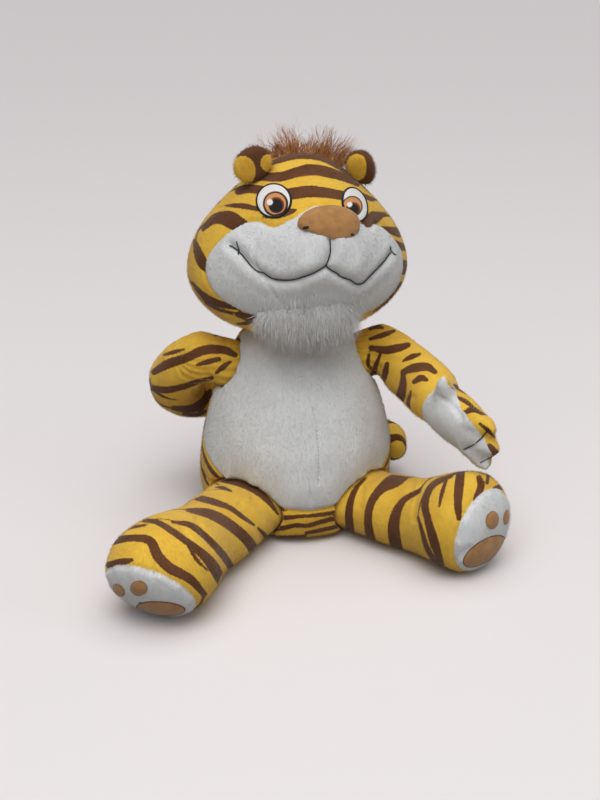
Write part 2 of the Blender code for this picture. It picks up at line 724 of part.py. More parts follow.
def build_hand(name, frame, joint):
    """A mitt with a thumb and three fingers, in two halves: the white palm and the striped back."""
    rows = [[Vector((0, 0, GAP))]]
    for share, width, thickness in MITT_SHARES:
        rows.append(oval(GAP + share * PALM_LENGTH, width * PALM_WIDTH / 2, thickness * PALM_THICKNESS / 2,
                         thickness * PALM_THICKNESS / 2, LIMB_AROUND))
    rows.append([Vector((0, 0, PALM_LENGTH * PALM_TIP_SHARE))])
    mitt = skin_mesh(f"{name}_mitt", [[frame @ point for point in row] for row in rows])
    forms = []
    finger_size = (2 * FINGER_RADIUS, 2 * FINGER_RADIUS, 2 * FINGER_LENGTH)
    across, deep = FINGER_PLACE_SHARES
    drawn, more = FINGER_DRAW_SHARES
    for k in (-1, 0, 1):
        place = frame @ Matrix.Translation((k * PALM_WIDTH * across, PALM_THICKNESS * deep,
                                            PALM_LENGTH - FINGER_RADIUS * (drawn + more * abs(k))))
        forms.append(oval_mesh(f"{name}_finger", place @ Matrix.Rotation(k * FINGER_SPREAD, 4, "Y"), finger_size, 8, 6))
    across, deep, along = THUMB_PLACE_SHARES
    thumb = frame @ Matrix.Translation((PALM_WIDTH * across, PALM_THICKNESS * deep, PALM_LENGTH * along))
    thumb = thumb @ Matrix.Rotation(THUMB_TURN, 4, "Y")
    forms.append(oval_mesh(f"{name}_thumb", thumb, (2 * THUMB_RADIUS, 2 * THUMB_RADIUS, THUMB_LENGTH), 8, 6))
    whole = cut(mitt, [guide(f"{name}_part", form) for form in forms], "UNION")
    for half, way, colour in (("palm", 1, WHITE), ("back", -1, YELLOW)):
        reach = PALM_LENGTH + PALM_WIDTH + THUMB_LENGTH
        near = frame.to_3x3() @ Vector((0, way * GAP / 2, 0))
        far = frame.to_3x3() @ Vector((0, way * reach, 0))
        outline = [frame @ Vector(corner) for corner in ((-reach, 0, -reach), (reach, 0, -reach),
                                                         (reach, 0, reach), (-reach, 0, reach))]
        room = prism_guide(f"{name}_{half}_room", outline, near, far)
        add_piece(f"{name}_{half}", cut(whole.copy(), [room], "INTERSECT"), colour, joint)


def shoulder_frame(side):
    """A shoulder's centre and the way its arm leaves it, square to the body's slanted side."""
    height = SHOULDER_HEIGHT_SHARE * BODY_HEIGHT
    low, high = (body_size(height + step)[0] for step in (-SHOULDER_RADIUS, SHOULDER_RADIUS))
    way = Vector((side * 2 * SHOULDER_RADIUS, 0, low - high)).normalized()
    return Vector((side * body_size(height)[0], 0, height)) - way * SHOULDER_SINK, way


def arm_lead(side):
    """The first stop of an arm, straight out of the shoulder's ball."""
    centre, way = shoulder_frame(side)
    place = centre + way * SHOULDER_RADIUS * ARM_LEAD_SHARE
    return (*place, SHOULDER_RADIUS * ARM_ROOT_SHARE, SHOULDER_RADIUS * ARM_ROOT_SHARE)


def build_arm(name, side, stops, along, palm_way):
    """An arm whose joint turns it about the way it leaves the body, forwards and upwards or back and upwards."""
    shoulder, way = shoulder_frame(side)
    joint = add_joint(f"{name}_swing", shoulder, -way)
    rows = limb_rows(shoulder, SHOULDER_RADIUS, SHOULDER_RADIUS, stops, ARM_STEPS, along)
    add_piece(f"{name}_sleeve", open_sleeve(f"{name}_sleeve", rows), YELLOW, joint)
    add_piece(f"{name}_stuffing", filling(f"{name}_stuffing", rows), FILLING, joint)
    build_hand(f"{name}_hand", hand_frame(Vector(stops[-1][:3]), along, palm_way), joint)


def bent_arm_stops():
    """The right arm's stops, round behind the back and clear of it."""
    shoulder, _ = shoulder_frame(-1)
    behind = BODY_BACK + BACK_CLEARANCE + PALM_THICKNESS / 2
    stops = [arm_lead(-1)]
    for x, y, z in BENT_ARM_SHARES:
        radius = WRIST_RADIUS if x == BENT_ARM_SHARES[-1][0] else ARM_RADIUS
        stops.append((-x * BODY_WIDTH / 2, y * behind, z * shoulder.z, radius, radius))
    return stops


def rest_place():
    """Where the left hand's fingertips lie, just above the left foot."""
    hip, way, length = leg_axis("left")
    above, beside = REST_SHARES
    over = 2 * FOOT_RADIUS + HAND_CLEARANCE + PALM_WIDTH * above
    place = hip + way * length + way.cross(UP) * FOOT_RADIUS * beside
    return Vector((place.x, place.y, over))


def straight_arm_stops():
    """The left arm's stops, from the shoulder down to a hand that rests over the foot."""
    shoulder, _ = shoulder_frame(1)
    tips = rest_place()
    hand_way = Matrix.Rotation(-LEFT_HAND_TURN, 3, "Z") @ (shoulder - tips).normalized()
    wrist = tips + hand_way * (PALM_LENGTH + FINGER_LENGTH * KNUCKLE_SHARE)
    length = (shoulder - wrist).length
    outwards = UP.cross(wrist - shoulder).normalized()
    stops = [arm_lead(1)]
    for share, bow, lift in STRAIGHT_ARM_SHARES:
        radius = WRIST_RADIUS if share == 1 else ARM_RADIUS
        place = shoulder.lerp(wrist, share) + (outwards * bow + UP * lift) * length
        stops.append((*place, radius, radius))
    return stops


# Legs, each with a sole panel and its pads

def leg_axis(side):
    """Where a leg's root is, which way it goes and how long it is to the sole's seam."""
    sign = 1 if side == "left" else -1
    height = HIP_HALF_HEIGHT - FLAT_DEPTH
    half_width, front, _ = body_size(height)
    skin = Vector((half_width * math.sin(HIP_ANGLES[side]), -front * math.cos(HIP_ANGLES[side]), 0))
    middle = skin * (1 - HIP_SINK / skin.length)
    angle = LEG_ANGLES[side]
    length = LEFT_LEG_LENGTH if side == "left" else RIGHT_LEG_LENGTH
    return (Vector((sign * middle.x, middle.y, height)),
            Vector((sign * math.sin(angle), -math.cos(angle), 0)), length)


def leg_rows(side):
    hip, way, length = leg_axis(side)
    drop = LEFT_FOOT_DROP if side == "left" else RIGHT_FOOT_DROP
    stops = []
    for share, half_width, half_height, lean in LEG_SHARES:
        place = hip + way * length * share
        stops.append((place.x, place.y, half_height * math.cos(drop * lean) - FLAT_DEPTH, half_width, half_height))
    end_way = way * math.cos(drop) - UP * math.sin(drop)
    return limb_rows(hip, HIP_RADIUS, HIP_HALF_HEIGHT, stops, LEG_STEPS, end_way), end_way


def sole_rows(seam, end_way):
    """Rings of the sole panel from its seam with the leg to its middle."""
    middle = middle_of(seam)
    rows = [[point + end_way * GAP for point in seam]]
    for reach, crown in SOLE_SHARES:
        rows.append([middle + (point - middle) * reach + end_way * (SOLE_CROWN * crown + GAP) for point in seam])
    rows.append([middle + end_way * (SOLE_CROWN + GAP)])
    return [[Vector((p.x, p.y, max(p.z, 0))) for p in row] for row in rows]


def build_leg(side):
    name = f"leg_{side}"
    hip, way, _ = leg_axis(side)
    joint = add_joint(f"{name}_spread", hip, UP)
    rows, end_way = leg_rows(side)
    add_piece(f"{name}_cover", open_sleeve(f"{name}_cover", rows), YELLOW, joint)
    sole = sole_rows(rows[-1], end_way)
    inner = drawn_in(sole, FABRIC, [0])
    add_piece(f"sole_{side}", skin_mesh(f"sole_{side}", sole[::-1][:-1] + [sole[0]] + inner), WHITE, joint)
    stuffing_rows = coarse(drawn_in(rows, FABRIC + STUFFING_GAP, range(len(rows)))
                           + drawn_in(sole, FABRIC + STUFFING_GAP, [0])[1:])
    add_piece(f"{name}_stuffing", skin_mesh(f"{name}_stuffing", [[middle_of(stuffing_rows[0])]] + stuffing_rows),
              FILLING, joint)

    outwards = 1 if side == "left" else -1
    across = UP.cross(end_way).normalized() * outwards
    if across.x * outwards < 0:
        across.negate()
    rise = end_way.cross(across).normalized()
    if rise.z < 0:
        rise.negate()
    middle = middle_of(sole[0])
    base = drawn_in(sole, -GAP, [0])
    top = drawn_in(sole, -GAP - PAD_THICKNESS, [0])
    layer = skin_mesh(name + "_layer", base[::-1] + top)
    for pad, (x, z) in PAD_PLACE_SHARES.items():
        width, height = (HEEL_PAD_WIDTH, HEEL_PAD_HEIGHT) if pad == "heel" else (TOE_PAD_WIDTH, TOE_PAD_HEIGHT)
        outline = [middle + across * a + rise * b
                   for a, b in oval_outline(x * SOLE_RADIUS, z * SOLE_RADIUS, width, height, 12)]
        room = prism_guide(f"{name}_{pad}_room", outline, Vector(), end_way * (SOLE_CROWN + OVERRUN))
        add_piece(f"{pad}_pad_{side}", cut(layer.copy(), [room], "INTERSECT"), TAN, joint)


# Tail

def build_tail():
    height = TAIL_ROOT_RADIUS + TAIL_RADIUS * TAIL_LIFT_SHARE
    side = TAIL_SIDE_SHARE * BODY_WIDTH / 2
    depth = body_size(height)[2]
    root = Vector((side, depth * math.sqrt(1 - TAIL_SIDE_SHARE ** 2) - TAIL_SINK, height))
    joint = add_joint("tail_swing", root, UP)
    clear = TAIL_RADIUS + TAIL_CLEARANCE
    stops = []
    for x, y, share in TAIL_SHARES:
        radius = share * TAIL_RADIUS
        stops.append((x * (BODY_WIDTH / 2 + clear), y * (BODY_BACK + clear), height, radius, radius))
    rows = limb_rows(root, TAIL_ROOT_RADIUS, TAIL_ROOT_RADIUS, stops, TAIL_STEPS)
    end = middle_of(rows[-1])
    tip = end + (end - middle_of(rows[-2])).normalized() * TAIL_RADIUS * TAIL_TIP_SHARE
    rows.append([tip])
    inner = drawn_in(rows, FABRIC, [0])
    add_piece("tail_cover", skin_mesh("tail_cover", inner[::-1] + rows), YELLOW, joint)
    inner = coarse(drawn_in(rows, FABRIC + STUFFING_GAP, [0]))
    add_piece("tail_stuffing", skin_mesh("tail_stuffing", [[middle_of(inner[0])]] + inner), FILLING, joint)
    return root


clear_scene()
tail_root = build_tail()
root_reach = TAIL_ROOT_RADIUS + SOCKET_GAP
hollows = [ball_guide("tail_hollow", tail_root, root_reach, root_reach)]
for side_name, side_sign in (("left", 1), ("right", -1)):
    root_reach = SHOULDER_RADIUS + SOCKET_GAP
    hollows.append(ball_guide(f"shoulder_hollow_{side_name}", shoulder_frame(side_sign)[0], root_reach, root_reach))
    hollows.append(ball_guide(f"hip_hollow_{side_name}", leg_axis(side_name)[0], HIP_RADIUS + SOCKET_GAP,
                              HIP_HALF_HEIGHT + SOCKET_GAP))
    build_leg(side_name)
build_body(hollows)
build_head()
left_stops = straight_arm_stops()
build_arm("arm_left", 1, left_stops, (rest_place() - Vector(left_stops[-1][:3])).normalized(),
          LEFT_PALM_WAY)
build_arm("arm_right", -1, bent_arm_stops(), RIGHT_HAND_WAY, RIGHT_PALM_WAY)
bpy.context.view_layer.update()
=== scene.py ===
import math

import bmesh
import bpy
import numpy as np
from mathutils import Matrix, Vector
from mathutils.bvhtree import BVHTree


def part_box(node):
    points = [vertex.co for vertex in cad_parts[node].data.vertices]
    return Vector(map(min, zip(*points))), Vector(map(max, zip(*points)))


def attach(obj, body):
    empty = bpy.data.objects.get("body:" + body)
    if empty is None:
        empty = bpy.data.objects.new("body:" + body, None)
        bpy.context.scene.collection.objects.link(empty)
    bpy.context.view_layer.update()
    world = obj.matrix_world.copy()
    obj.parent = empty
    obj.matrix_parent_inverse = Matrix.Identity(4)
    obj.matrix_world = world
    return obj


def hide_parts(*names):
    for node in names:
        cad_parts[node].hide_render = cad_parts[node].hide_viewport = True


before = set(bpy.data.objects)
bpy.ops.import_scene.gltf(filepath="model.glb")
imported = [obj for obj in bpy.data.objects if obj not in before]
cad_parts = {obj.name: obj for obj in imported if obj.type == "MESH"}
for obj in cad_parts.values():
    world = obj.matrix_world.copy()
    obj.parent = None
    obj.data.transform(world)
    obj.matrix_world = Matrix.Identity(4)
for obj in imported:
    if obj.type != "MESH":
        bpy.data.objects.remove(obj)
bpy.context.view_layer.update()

# Head: one padded ball of short pile fabric, yellow with brown stripes round a white face panel. The panels
# are sewn inside out, turned and filled with loose fibre, which swells the fabric out between the seams.

MM = 0.001
SKIN_COARSENESS = 0.0034
CLOTH_SCALE = 10
SETTLING_FRAMES = 20
HEAD_SWELL = 2.5
HEAD_HELD_BELOW = 172
HEAD_BARE_BELOW = 168
FACE_SEAM_DEPTH, MOUTH_DEPTH, MUZZLE_DEPTH, LIP_RISE = 1.3, 2.4, 0.8, 0.8
NECK = Vector((0, 0, 0.1653))
HEAD_MIDDLE = Vector((0, 0, 0.060))
HEAD_SET = Matrix.Rotation(math.radians(5.5), 3, "Z") @ Matrix.Rotation(math.radians(3.2), 3, "Y")

# The camera in millimetres and degrees: stripes and patches that the picture shows are placed through it
TARGET = Vector((4.0, 0, 98.5))
DISTANCE = 1100
FOCAL = 1320
AROUND, ABOVE = math.radians(-10), math.radians(20)
VIEW = Vector((math.sin(AROUND) * math.cos(ABOVE), -math.cos(AROUND) * math.cos(ABOVE), math.sin(ABOVE)))
VIEW_RIGHT = Vector((math.cos(AROUND), math.sin(AROUND), 0))
VIEW_UP = VIEW.cross(VIEW_RIGHT)
LENS = TARGET + VIEW * DISTANCE
PICTURE_WIDE, PICTURE_HIGH = 600, 800
PER_PIXEL = 0.77
# The distance in millimetres that stands for no stripe or panel near a point
NO_MARK = 9.0
YELLOW, WORN_YELLOW = (0.80, 0.515, 0.062, 1), (0.74, 0.44, 0.05, 1)
BROWN, WORN_BROWN = (0.108, 0.037, 0.010, 1), (0.15, 0.062, 0.03, 1)
WHITE, WORN_WHITE = (0.70, 0.72, 0.72, 1), (0.64, 0.655, 0.65, 1)

# Stripes are rows of places: degrees to the tiger's left of the face's middle, degrees up, half width in mm
HEAD_STRIPES = (
    ((-100, 66, 1.2), (-72, 80, 2.4), (77, 87, 2.4), (83, 79, 2.4), (86, 68, 1.8)),
    ((-104, 50, 1.2), (-80, 57, 1.8), (-59, 61, 2.3), (-39, 64, 2.5), (-20, 70, 3.0), (-4, 72, 3.3),
     (25, 70, 3.3),
     (48, 63, 2.7), (66, 56, 1.9), (92, 50, 1.2)),
    ((-104, 38, 0.8), (-88, 45, 2.3), (-74, 48, 2.7), (-55, 49, 2.7)),
    ((-30, 48, 3.8), (-9, 51, 3.7), (5, 49, 3.7), (21, 47, 3.3)),
    ((52, 45, 1.7), (66, 40, 1.7), (84, 35, 0.8)),
    ((-90, 28, 0.5), (-80, 32, 0.9), (-65, 35, 1.8), (-52, 35, 1.6)),
    ((-42, 30, 0.9), (-33, 34, 2.3), (-20, 35, 1.2)),
    ((-106, 6, 1.0), (-94, 13, 2.2), (-85, 21, 3.2), (-75, 25, 4.8), (-64, 25, 5.2), (-56, 22, 3.0)),
    ((-96, 12, 1.2), (-89, 5, 2.0), (-83, 1, 2.9), (-77, -2, 3.6), (-71, -5, 2.6)),
    ((-100, -8, 0.8), (-88, -14, 1.2), (-76, -17, 1.7), (-68, -20, 2.3), (-52, -24, 0.9)),
    ((-92, -20, 0.8), (-76, -24, 1.0), (-65, -27, 1.0), (-57, -28, 1.0)),
    ((-60, -38, 2.0), (-44, -33, 2.6), (-32, -30, 1.6)),
    ((22, 26, 1.2), (39, 30, 4.2), (52, 30, 3.0), (68, 27, 1.4), (84, 22, 0.8)),
    ((49, 23, 0.8), (62, 19, 2.2), (76, 15, 2.6), (92, 10, 1.0)),
    ((58, 12, 1.2), (70, 7, 3.0), (84, 3, 2.6), (98, 1, 0.9)),
    ((64, -1, 2.0), (76, -4, 2.8), (92, -7, 1.0)),
    ((60, -16, 1.6), (70, -14, 1.9), (86, -15, 1.4), (98, -17, 0.7)),
    ((58, -25, 0.9), (74, -26, 1.5), (90, -28, 0.8)),
)
# The same stripes as the picture shows them: places in its pixels and half widths
HEAD_SEEN = (
    ((262, 167, 1.5), (280, 160, 3.0), (296, 156, 3.4), (310, 156, 3.4), (324, 159, 3.2), (340, 168, 2.6),
     (352, 177, 1.5)),
    ((248, 179, 1.5), (262, 178, 3.0), (280, 177, 4.6), (298, 172, 5.2), (314, 170, 5.4), (330, 173, 5.0),
     (344, 178, 3.6), (358, 185, 1.8)),
    ((238, 192, 3.0), (249, 189, 4.2), (262, 190, 4.4)), ((289, 195, 5.2), (310, 192, 5.4), (328, 193, 5.2),
                                                          (343, 196, 4.2)),
    ((363, 196, 2.8), (373, 200, 1.8)), ((226, 206, 0.9), (242, 206, 2.8), (258, 209, 2.4)),
    ((266, 217, 1.6), (280, 214, 4.2), (294, 211, 2.0)),
    ((203, 230, 1.5), (213, 220, 4.5), (224, 218, 7.0), (236, 223, 8.0), (246, 226, 4.5)),
    ((195, 241, 2.0), (198, 252, 4.4), (202, 261, 5.0), (207, 267, 3.0)),
    ((193, 283, 1.2), (201, 293, 2.8), (214, 302, 4.0), (240, 309, 1.6)),
    ((206, 303, 1.2), (220, 310, 1.8), (234, 313, 1.2)),
    ((238, 314, 3.0), (250, 318, 4.0), (262, 321, 2.0)), ((362, 227, 2.4), (372, 219, 6.4), (384, 214, 2.0)),
    ((382, 227, 1.2), (392, 231, 3.2), (399, 234, 3.4)), ((392, 240, 1.5), (402, 247, 4.0)),
    ((402, 262, 3.0), (403, 271, 3.6)),
    ((388, 300, 2.0), (394, 292, 3.4), (401, 284, 2.4)), ((374, 312, 1.2), (384, 305, 2.4), (392, 297, 1.6)),
)
HEAD_BACK_HEIGHTS = (58, 43, 29, 15, 1, -13, -26)

# The seam of the face panel as the same places, from beside the nose round the chin and back
FACE_SEAM = (
    (-19, 31), (-25, 28), (-31, 25), (-36, 25), (-42, 27), (-48, 27), (-55, 25), (-62, 19), (-67, 13),
    (-71, 6),
    (-73, 0), (-71, -8), (-66, -14), (-60, -20), (-52, -24), (-42, -28), (-30, -33), (-15, -38), (0, -40),
    (15, -38),
    (32, -33), (46, -27), (56, -21), (61, -12), (64, -3), (66, 4), (63, 11), (58, 17), (52, 22), (45, 25),
    (38, 26),
    (32, 24), (27, 25), (22, 28), (17, 33), (8, 37), (0, 38), (-8, 38), (-14, 35),
)
MUZZLE_SEAM = ((-41, 17), (-41, 10), (-38, 2), (-33, -3), (-27, -12), (-20, -20))
MOUTH_LINES = (
    ((-58, 11), (-50, 8), (-42, 3), (-34, -1), (-27, -3), (-19, -2), (-12, 1), (-6, 4), (-3, 6)),
    ((-1, 18), (-1, 13), (-3, 6)),
    ((-3, 6), (3, 2), (9, -1), (18, -5), (27, 0), (36, 4), (47, 8)),
    ((-53, 13), (-51, 8)),
    ((50, 6), (46, 11)),
)


def new_piece(name, mesh):
    piece = bpy.data.objects.new(name, mesh)
    bpy.context.scene.collection.objects.link(piece)
    return piece


def settle(piece):
    """Turns what the piece's modifiers show into its own mesh."""
    bpy.context.view_layer.update()
    mesh = bpy.data.meshes.new_from_object(piece.evaluated_get(bpy.context.evaluated_depsgraph_get()))
    piece.modifiers.clear()
    piece.data = mesh


def points_of(piece):
    """The piece's points in millimetres."""
    flat = np.empty(len(piece.data.vertices) * 3, np.float32)
    piece.data.vertices.foreach_get("co", flat)
    return flat.reshape(-1, 3) / MM


def outward_of(piece):
    flat = np.empty(len(piece.data.vertices) * 3, np.float32)
    piece.data.vertices.foreach_get("normal", flat)
    return flat.reshape(-1, 3)


def move_points(piece, points):
    piece.data.vertices.foreach_set("co", (points * MM).astype(np.float32).ravel())
    piece.data.update()


def push_out(piece, amount):
    """Moves each point along its normal by its amount in millimetres."""
    move_points(piece, points_of(piece) + outward_of(piece) * np.asarray(amount)[:, None])


def sewn_skin(name, nodes, coarseness=SKIN_COARSENESS):
    """One closed skin round the solids of a stuffed form, as its sewn panels make."""
    work = bmesh.new()
    for node in nodes:
        work.from_mesh(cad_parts[node].data)
    bmesh.ops.remove_doubles(work, verts=work.verts, dist=1e-6)
    mesh = bpy.data.meshes.new(name)
    work.to_mesh(mesh)
    work.free()
    piece = new_piece(name, mesh)
    skin = piece.modifiers.new("skin", "REMESH")
    skin.mode = "VOXEL"
    skin.voxel_size = coarseness
    settle(piece)
    work = bmesh.new()
    work.from_mesh(piece.data)
    unseen = set(work.verts)
    largest = set()
    while unseen:
        island = {unseen.pop()}
        edge = list(island)
        while edge:
            for link in edge.pop().link_edges:
                for vert in link.verts:
                    if vert in unseen:
                        unseen.remove(vert)
                        island.add(vert)
                        edge.append(vert)
        if len(island) > len(largest):
            largest = island
    bmesh.ops.delete(work, geom=[vert for vert in work.verts if vert not in largest], context="VERTS")
    for _ in range(2):
        bmesh.ops.smooth_vert(work, verts=work.verts, factor=0.5, use_axis_x=True, use_axis_y=True,
                              use_axis_z=True)
    work.to_mesh(piece.data)
    work.free()
    piece.data.shade_smooth()
    return piece


def fill(piece, held, most):
    """Fibre filling presses the fabric out, up to the most millimetres allowed, and least where it is held. The
    fabric is simulated at several times its size, where its springs settle in a few frames."""
    before = points_of(piece)
    move_points(piece, before * CLOTH_SCALE)
    group = piece.vertex_groups.new(name="held")
    for index, hold in enumerate(held):
        if hold > 0.02:
            group.add([index], float(hold), "REPLACE")
    fabric = piece.modifiers.new("fabric", "CLOTH")
    fabric.settings.vertex_group_mass = "held"
    fabric.settings.mass = 0.004
    fabric.settings.quality = 4
    fabric.settings.tension_stiffness = fabric.settings.compression_stiffness = 8
    fabric.settings.use_pressure = True
    fabric.settings.uniform_pressure_force = 30
    fabric.settings.effector_weights.gravity = 0
    fabric.collision_settings.use_collision = False
    for moment in range(1, SETTLING_FRAMES + 1):
        bpy.context.scene.frame_set(moment)
    settle(piece)
    bpy.context.scene.frame_set(1)
    move = points_of(piece) / CLOTH_SCALE - before
    far = np.linalg.norm(move, axis=1, keepdims=True)
    move_points(piece, before + move * np.minimum(1, most / np.maximum(far, 1e-6)))
    piece.vertex_groups.clear()


def refine(piece):
    finer = piece.modifiers.new("finer", "SUBSURF")
    finer.levels = finer.render_levels = 1
    settle(piece)
    piece.data.shade_smooth()


def skin_tree(piece):
    return BVHTree.FromPolygons([v.co for v in piece.data.vertices],
                                [p.vertices for p in piece.data.polygons])


def faded(distance, width):
    """1 on a line, and falling off smoothly to nothing at about twice the width beside it."""
    return np.exp(-(distance / width) ** 2)


def flowing(marks, steps=16, closed=False):
    """Close places on one smooth curve through the marks."""
    marks = np.array(marks, float)
    if len(marks) == 2:
        marks = np.array((marks[0], marks.mean(0), marks[1]))
    if closed:
        padded = np.vstack((marks[-1], marks, marks[:2]))
    else:
        padded = np.vstack((2 * marks[0] - marks[1], marks, 2 * marks[-1] - marks[-2]))
    row = []
    for a, b, c, d in zip(padded, padded[1:], padded[2:], padded[3:]):
        for t in np.linspace(0, 1, steps, endpoint=False):
            row.append((2 * b + (c - a) * t + (2 * a - 5 * b + 4 * c - d) * t ** 2
                        + (3 * b - a - 3 * c + d) * t ** 3) / 2)
    if not closed:
        row.append(marks[-1])
    return row


def laid(tree, aim, marks, closed=False):
    """Where a row of marks lies on a skin: places in millimetres with their half width."""
    result = []
    for place in flowing(marks, closed=closed):
        hit = tree.ray_cast(*aim(place[0], place[1]))[0]
        if hit:
            result.append((*(hit / MM), place[2] if len(place) > 2 else 0))
    return np.array(result, np.float32)


def away_from(points, marks):
    """How far each point is from the nearest mark's edge, in millimetres: below zero inside."""
    result = np.empty(len(points), np.float32)
    for start in range(0, len(points), 2048):
        some = points[start:start + 2048]
        gaps = np.linalg.norm(some[:, None, :] - marks[None, :, :3], axis=2) - marks[None, :, 3]
        result[start:start + 2048] = gaps.min(1)
    return result


def gap_to_lines(points, tree, aim, lines):
    """How far points are from stripes laid on a skin by their places on the form."""
    rows = [laid(tree, aim, line) for line in lines]
    return away_from(points, np.vstack([row for row in rows if len(row)]))


def seen_at(x, y):
    """The way from the lens to a place in the picture, in its pixels."""
    return (VIEW_RIGHT * (x - PICTURE_WIDE / 2) / FOCAL - VIEW_UP * (y - PICTURE_HIGH / 2) / FOCAL
            - VIEW).normalized()


def seen_from(points):
    """Where points in millimetres lie in the picture."""
    off = points - np.array(LENS)
    depth = -off @ np.array(VIEW)
    return (PICTURE_WIDE / 2 + FOCAL * (off @ np.array(VIEW_RIGHT)) / depth,
            PICTURE_HIGH / 2 - FOCAL * (off @ np.array(VIEW_UP)) / depth)


def seen_gap(piece, strokes):
    """How far points that face the lens are from stripes drawn in the picture, in millimetres, and out of reach for
    the others."""
    points = points_of(piece)
    x, y = seen_from(points)
    marks = np.array([(place[0], place[1], 0, place[2]) for line in strokes for place in flowing(line)],
                     np.float32)
    gap = away_from(np.stack((x, y, np.zeros(len(x))), 1).astype(np.float32), marks) * PER_PIXEL
    return np.where(outward_of(piece) @ np.array(VIEW) > 0.08, gap, NO_MARK)


def inside(ring, across, up):
    """Which places lie inside a closed ring of marks."""
    result = np.zeros(len(across), bool)
    for (x0, y0), (x1, y1) in zip(ring, ring[1:] + ring[:1]):
        if y0 != y1:
            crossing = (y0 > up) != (y1 > up)
            result ^= crossing & (across < (x1 - x0) * (up - y0) / (y1 - y0) + x0)
    return result


def write_marks(piece, **values):
    """Keeps a number for each point of the piece: the distance to stripes, to white panels, or what pile it bears."""
    for name, numbers in values.items():
        layer = piece.data.attributes.get(name) or piece.data.attributes.new(name, "FLOAT", "POINT")
        layer.data.foreach_set("value", np.asarray(numbers, np.float32))


def add_node(tree, kind, inputs=None, **settings):
    node = tree.nodes.new(kind)
    for name, value in settings.items():
        setattr(node, name, value)
    for name, value in (inputs or {}).items():
        if isinstance(value, bpy.types.NodeSocket):
            tree.links.new(value, node.inputs[name])
        else:
            node.inputs[name].default_value = value
    return node


def sums(tree, operation, *values):
    return add_node(tree, "ShaderNodeMath", dict(enumerate(values)), operation=operation).outputs[0]


def eased(tree, value, low, high, start, end):
    return add_node(tree, "ShaderNodeMapRange", {"Value": value, "From Min": low, "From Max": high,
                                                 "To Min": start,
                                                 "To Max": end}).outputs["Result"]


def blended(tree, share, first, second):
    node = add_node(tree, "ShaderNodeMix", data_type="RGBA")
    for socket, value in ((node.inputs[0], share), (node.inputs[6], first), (node.inputs[7], second)):
        if isinstance(value, bpy.types.NodeSocket):
            tree.links.new(value, socket)
        else:
            socket.default_value = value
    return node.outputs[2]


def new_finish(name, roughness=0.9, specular=0.2, sheen=0.0, sheen_tint=(1, 1, 1, 1)):
    """An empty fabric finish: its node tree, its shader and the piece's own coordinates."""
    material = bpy.data.materials.new(name)
    material.use_nodes = True
    tree = material.node_tree
    shader = tree.nodes["Principled BSDF"]
    shader.inputs["Roughness"].default_value = roughness
    shader.inputs["Specular IOR Level"].default_value = specular
    shader.inputs["Sheen Weight"].default_value = sheen
    shader.inputs["Sheen Roughness"].default_value = 0.45
    shader.inputs["Sheen Tint"].default_value = sheen_tint
    return material, tree, shader, add_node(tree, "ShaderNodeTexCoord").outputs["Object"]


def grain(tree, place, scale, detail=2.0, stretch=None):
    if stretch:
        place = add_node(tree, "ShaderNodeMapping", {"Vector": place, "Scale": stretch}).outputs["Vector"]
    return add_node(tree, "ShaderNodeTexNoise", {"Vector": place, "Scale": scale,
                                                 "Detail": detail}).outputs["Fac"]


def mark(tree, name):
    return add_node(tree, "ShaderNodeAttribute", attribute_name=name).outputs["Fac"]


def raised(tree, shader, height, strength, distance):
    """Lets a height in the finish catch the light."""
    bump = add_node(tree, "ShaderNodeBump", {"Height": height, "Strength": strength, "Distance": distance})
    tree.links.new(bump.outputs["Normal"], shader.inputs["Normal"])


def plush_finish(name, stretch=(1, 1, 0.45)):
    """Short pile fabric, printed with stripes and white where the marks say so. The print's edge is soft, because
    the fibres carry it, and the nap lies one way here and another way there."""
    material, tree, shader, place = new_finish(name, 0.92, 0.12, 0.25, (1, 0.96, 0.88, 1))
    fuzz = sums(tree, "MULTIPLY_ADD", grain(tree, place, 900, 3), 1.8, -0.9)
    stripe = eased(tree, sums(tree, "ADD", mark(tree, "stripe"), fuzz), -0.3, 0.3, 1.0, 0.0)
    white = eased(tree, sums(tree, "ADD", mark(tree, "white"), fuzz), -0.3, 0.3, 1.0, 0.0)
    worn = eased(tree, grain(tree, place, 45, 3), 0.3, 0.7, 0, 1)
    warm = blended(tree, worn, YELLOW, WORN_YELLOW)
    deep = blended(tree, worn, BROWN, WORN_BROWN)
    cool = blended(tree, worn, WHITE, WORN_WHITE)
    colour = blended(tree, white, blended(tree, stripe, warm, deep), cool)
    nap = grain(tree, place, 420, 3, stretch)
    fine = grain(tree, place, 1500, 2)
    light = sums(tree, "ADD", eased(tree, nap, 0.25, 0.75, 0.93, 1.04),
                 eased(tree, mark(tree, "tone"), 0, 1, 0, 0.10))
    tinted = add_node(tree, "ShaderNodeHueSaturation", {"Value": light, "Color": colour})
    tree.links.new(tinted.outputs["Color"], shader.inputs["Base Color"])
    height = sums(tree, "ADD", nap, sums(tree, "MULTIPLY", fine, 0.6))
    raised(tree, shader, height, 0.4, 0.0005)
    return material


def live(sockets, name):
    return next(socket for socket in sockets if socket.name == name and socket.enabled)


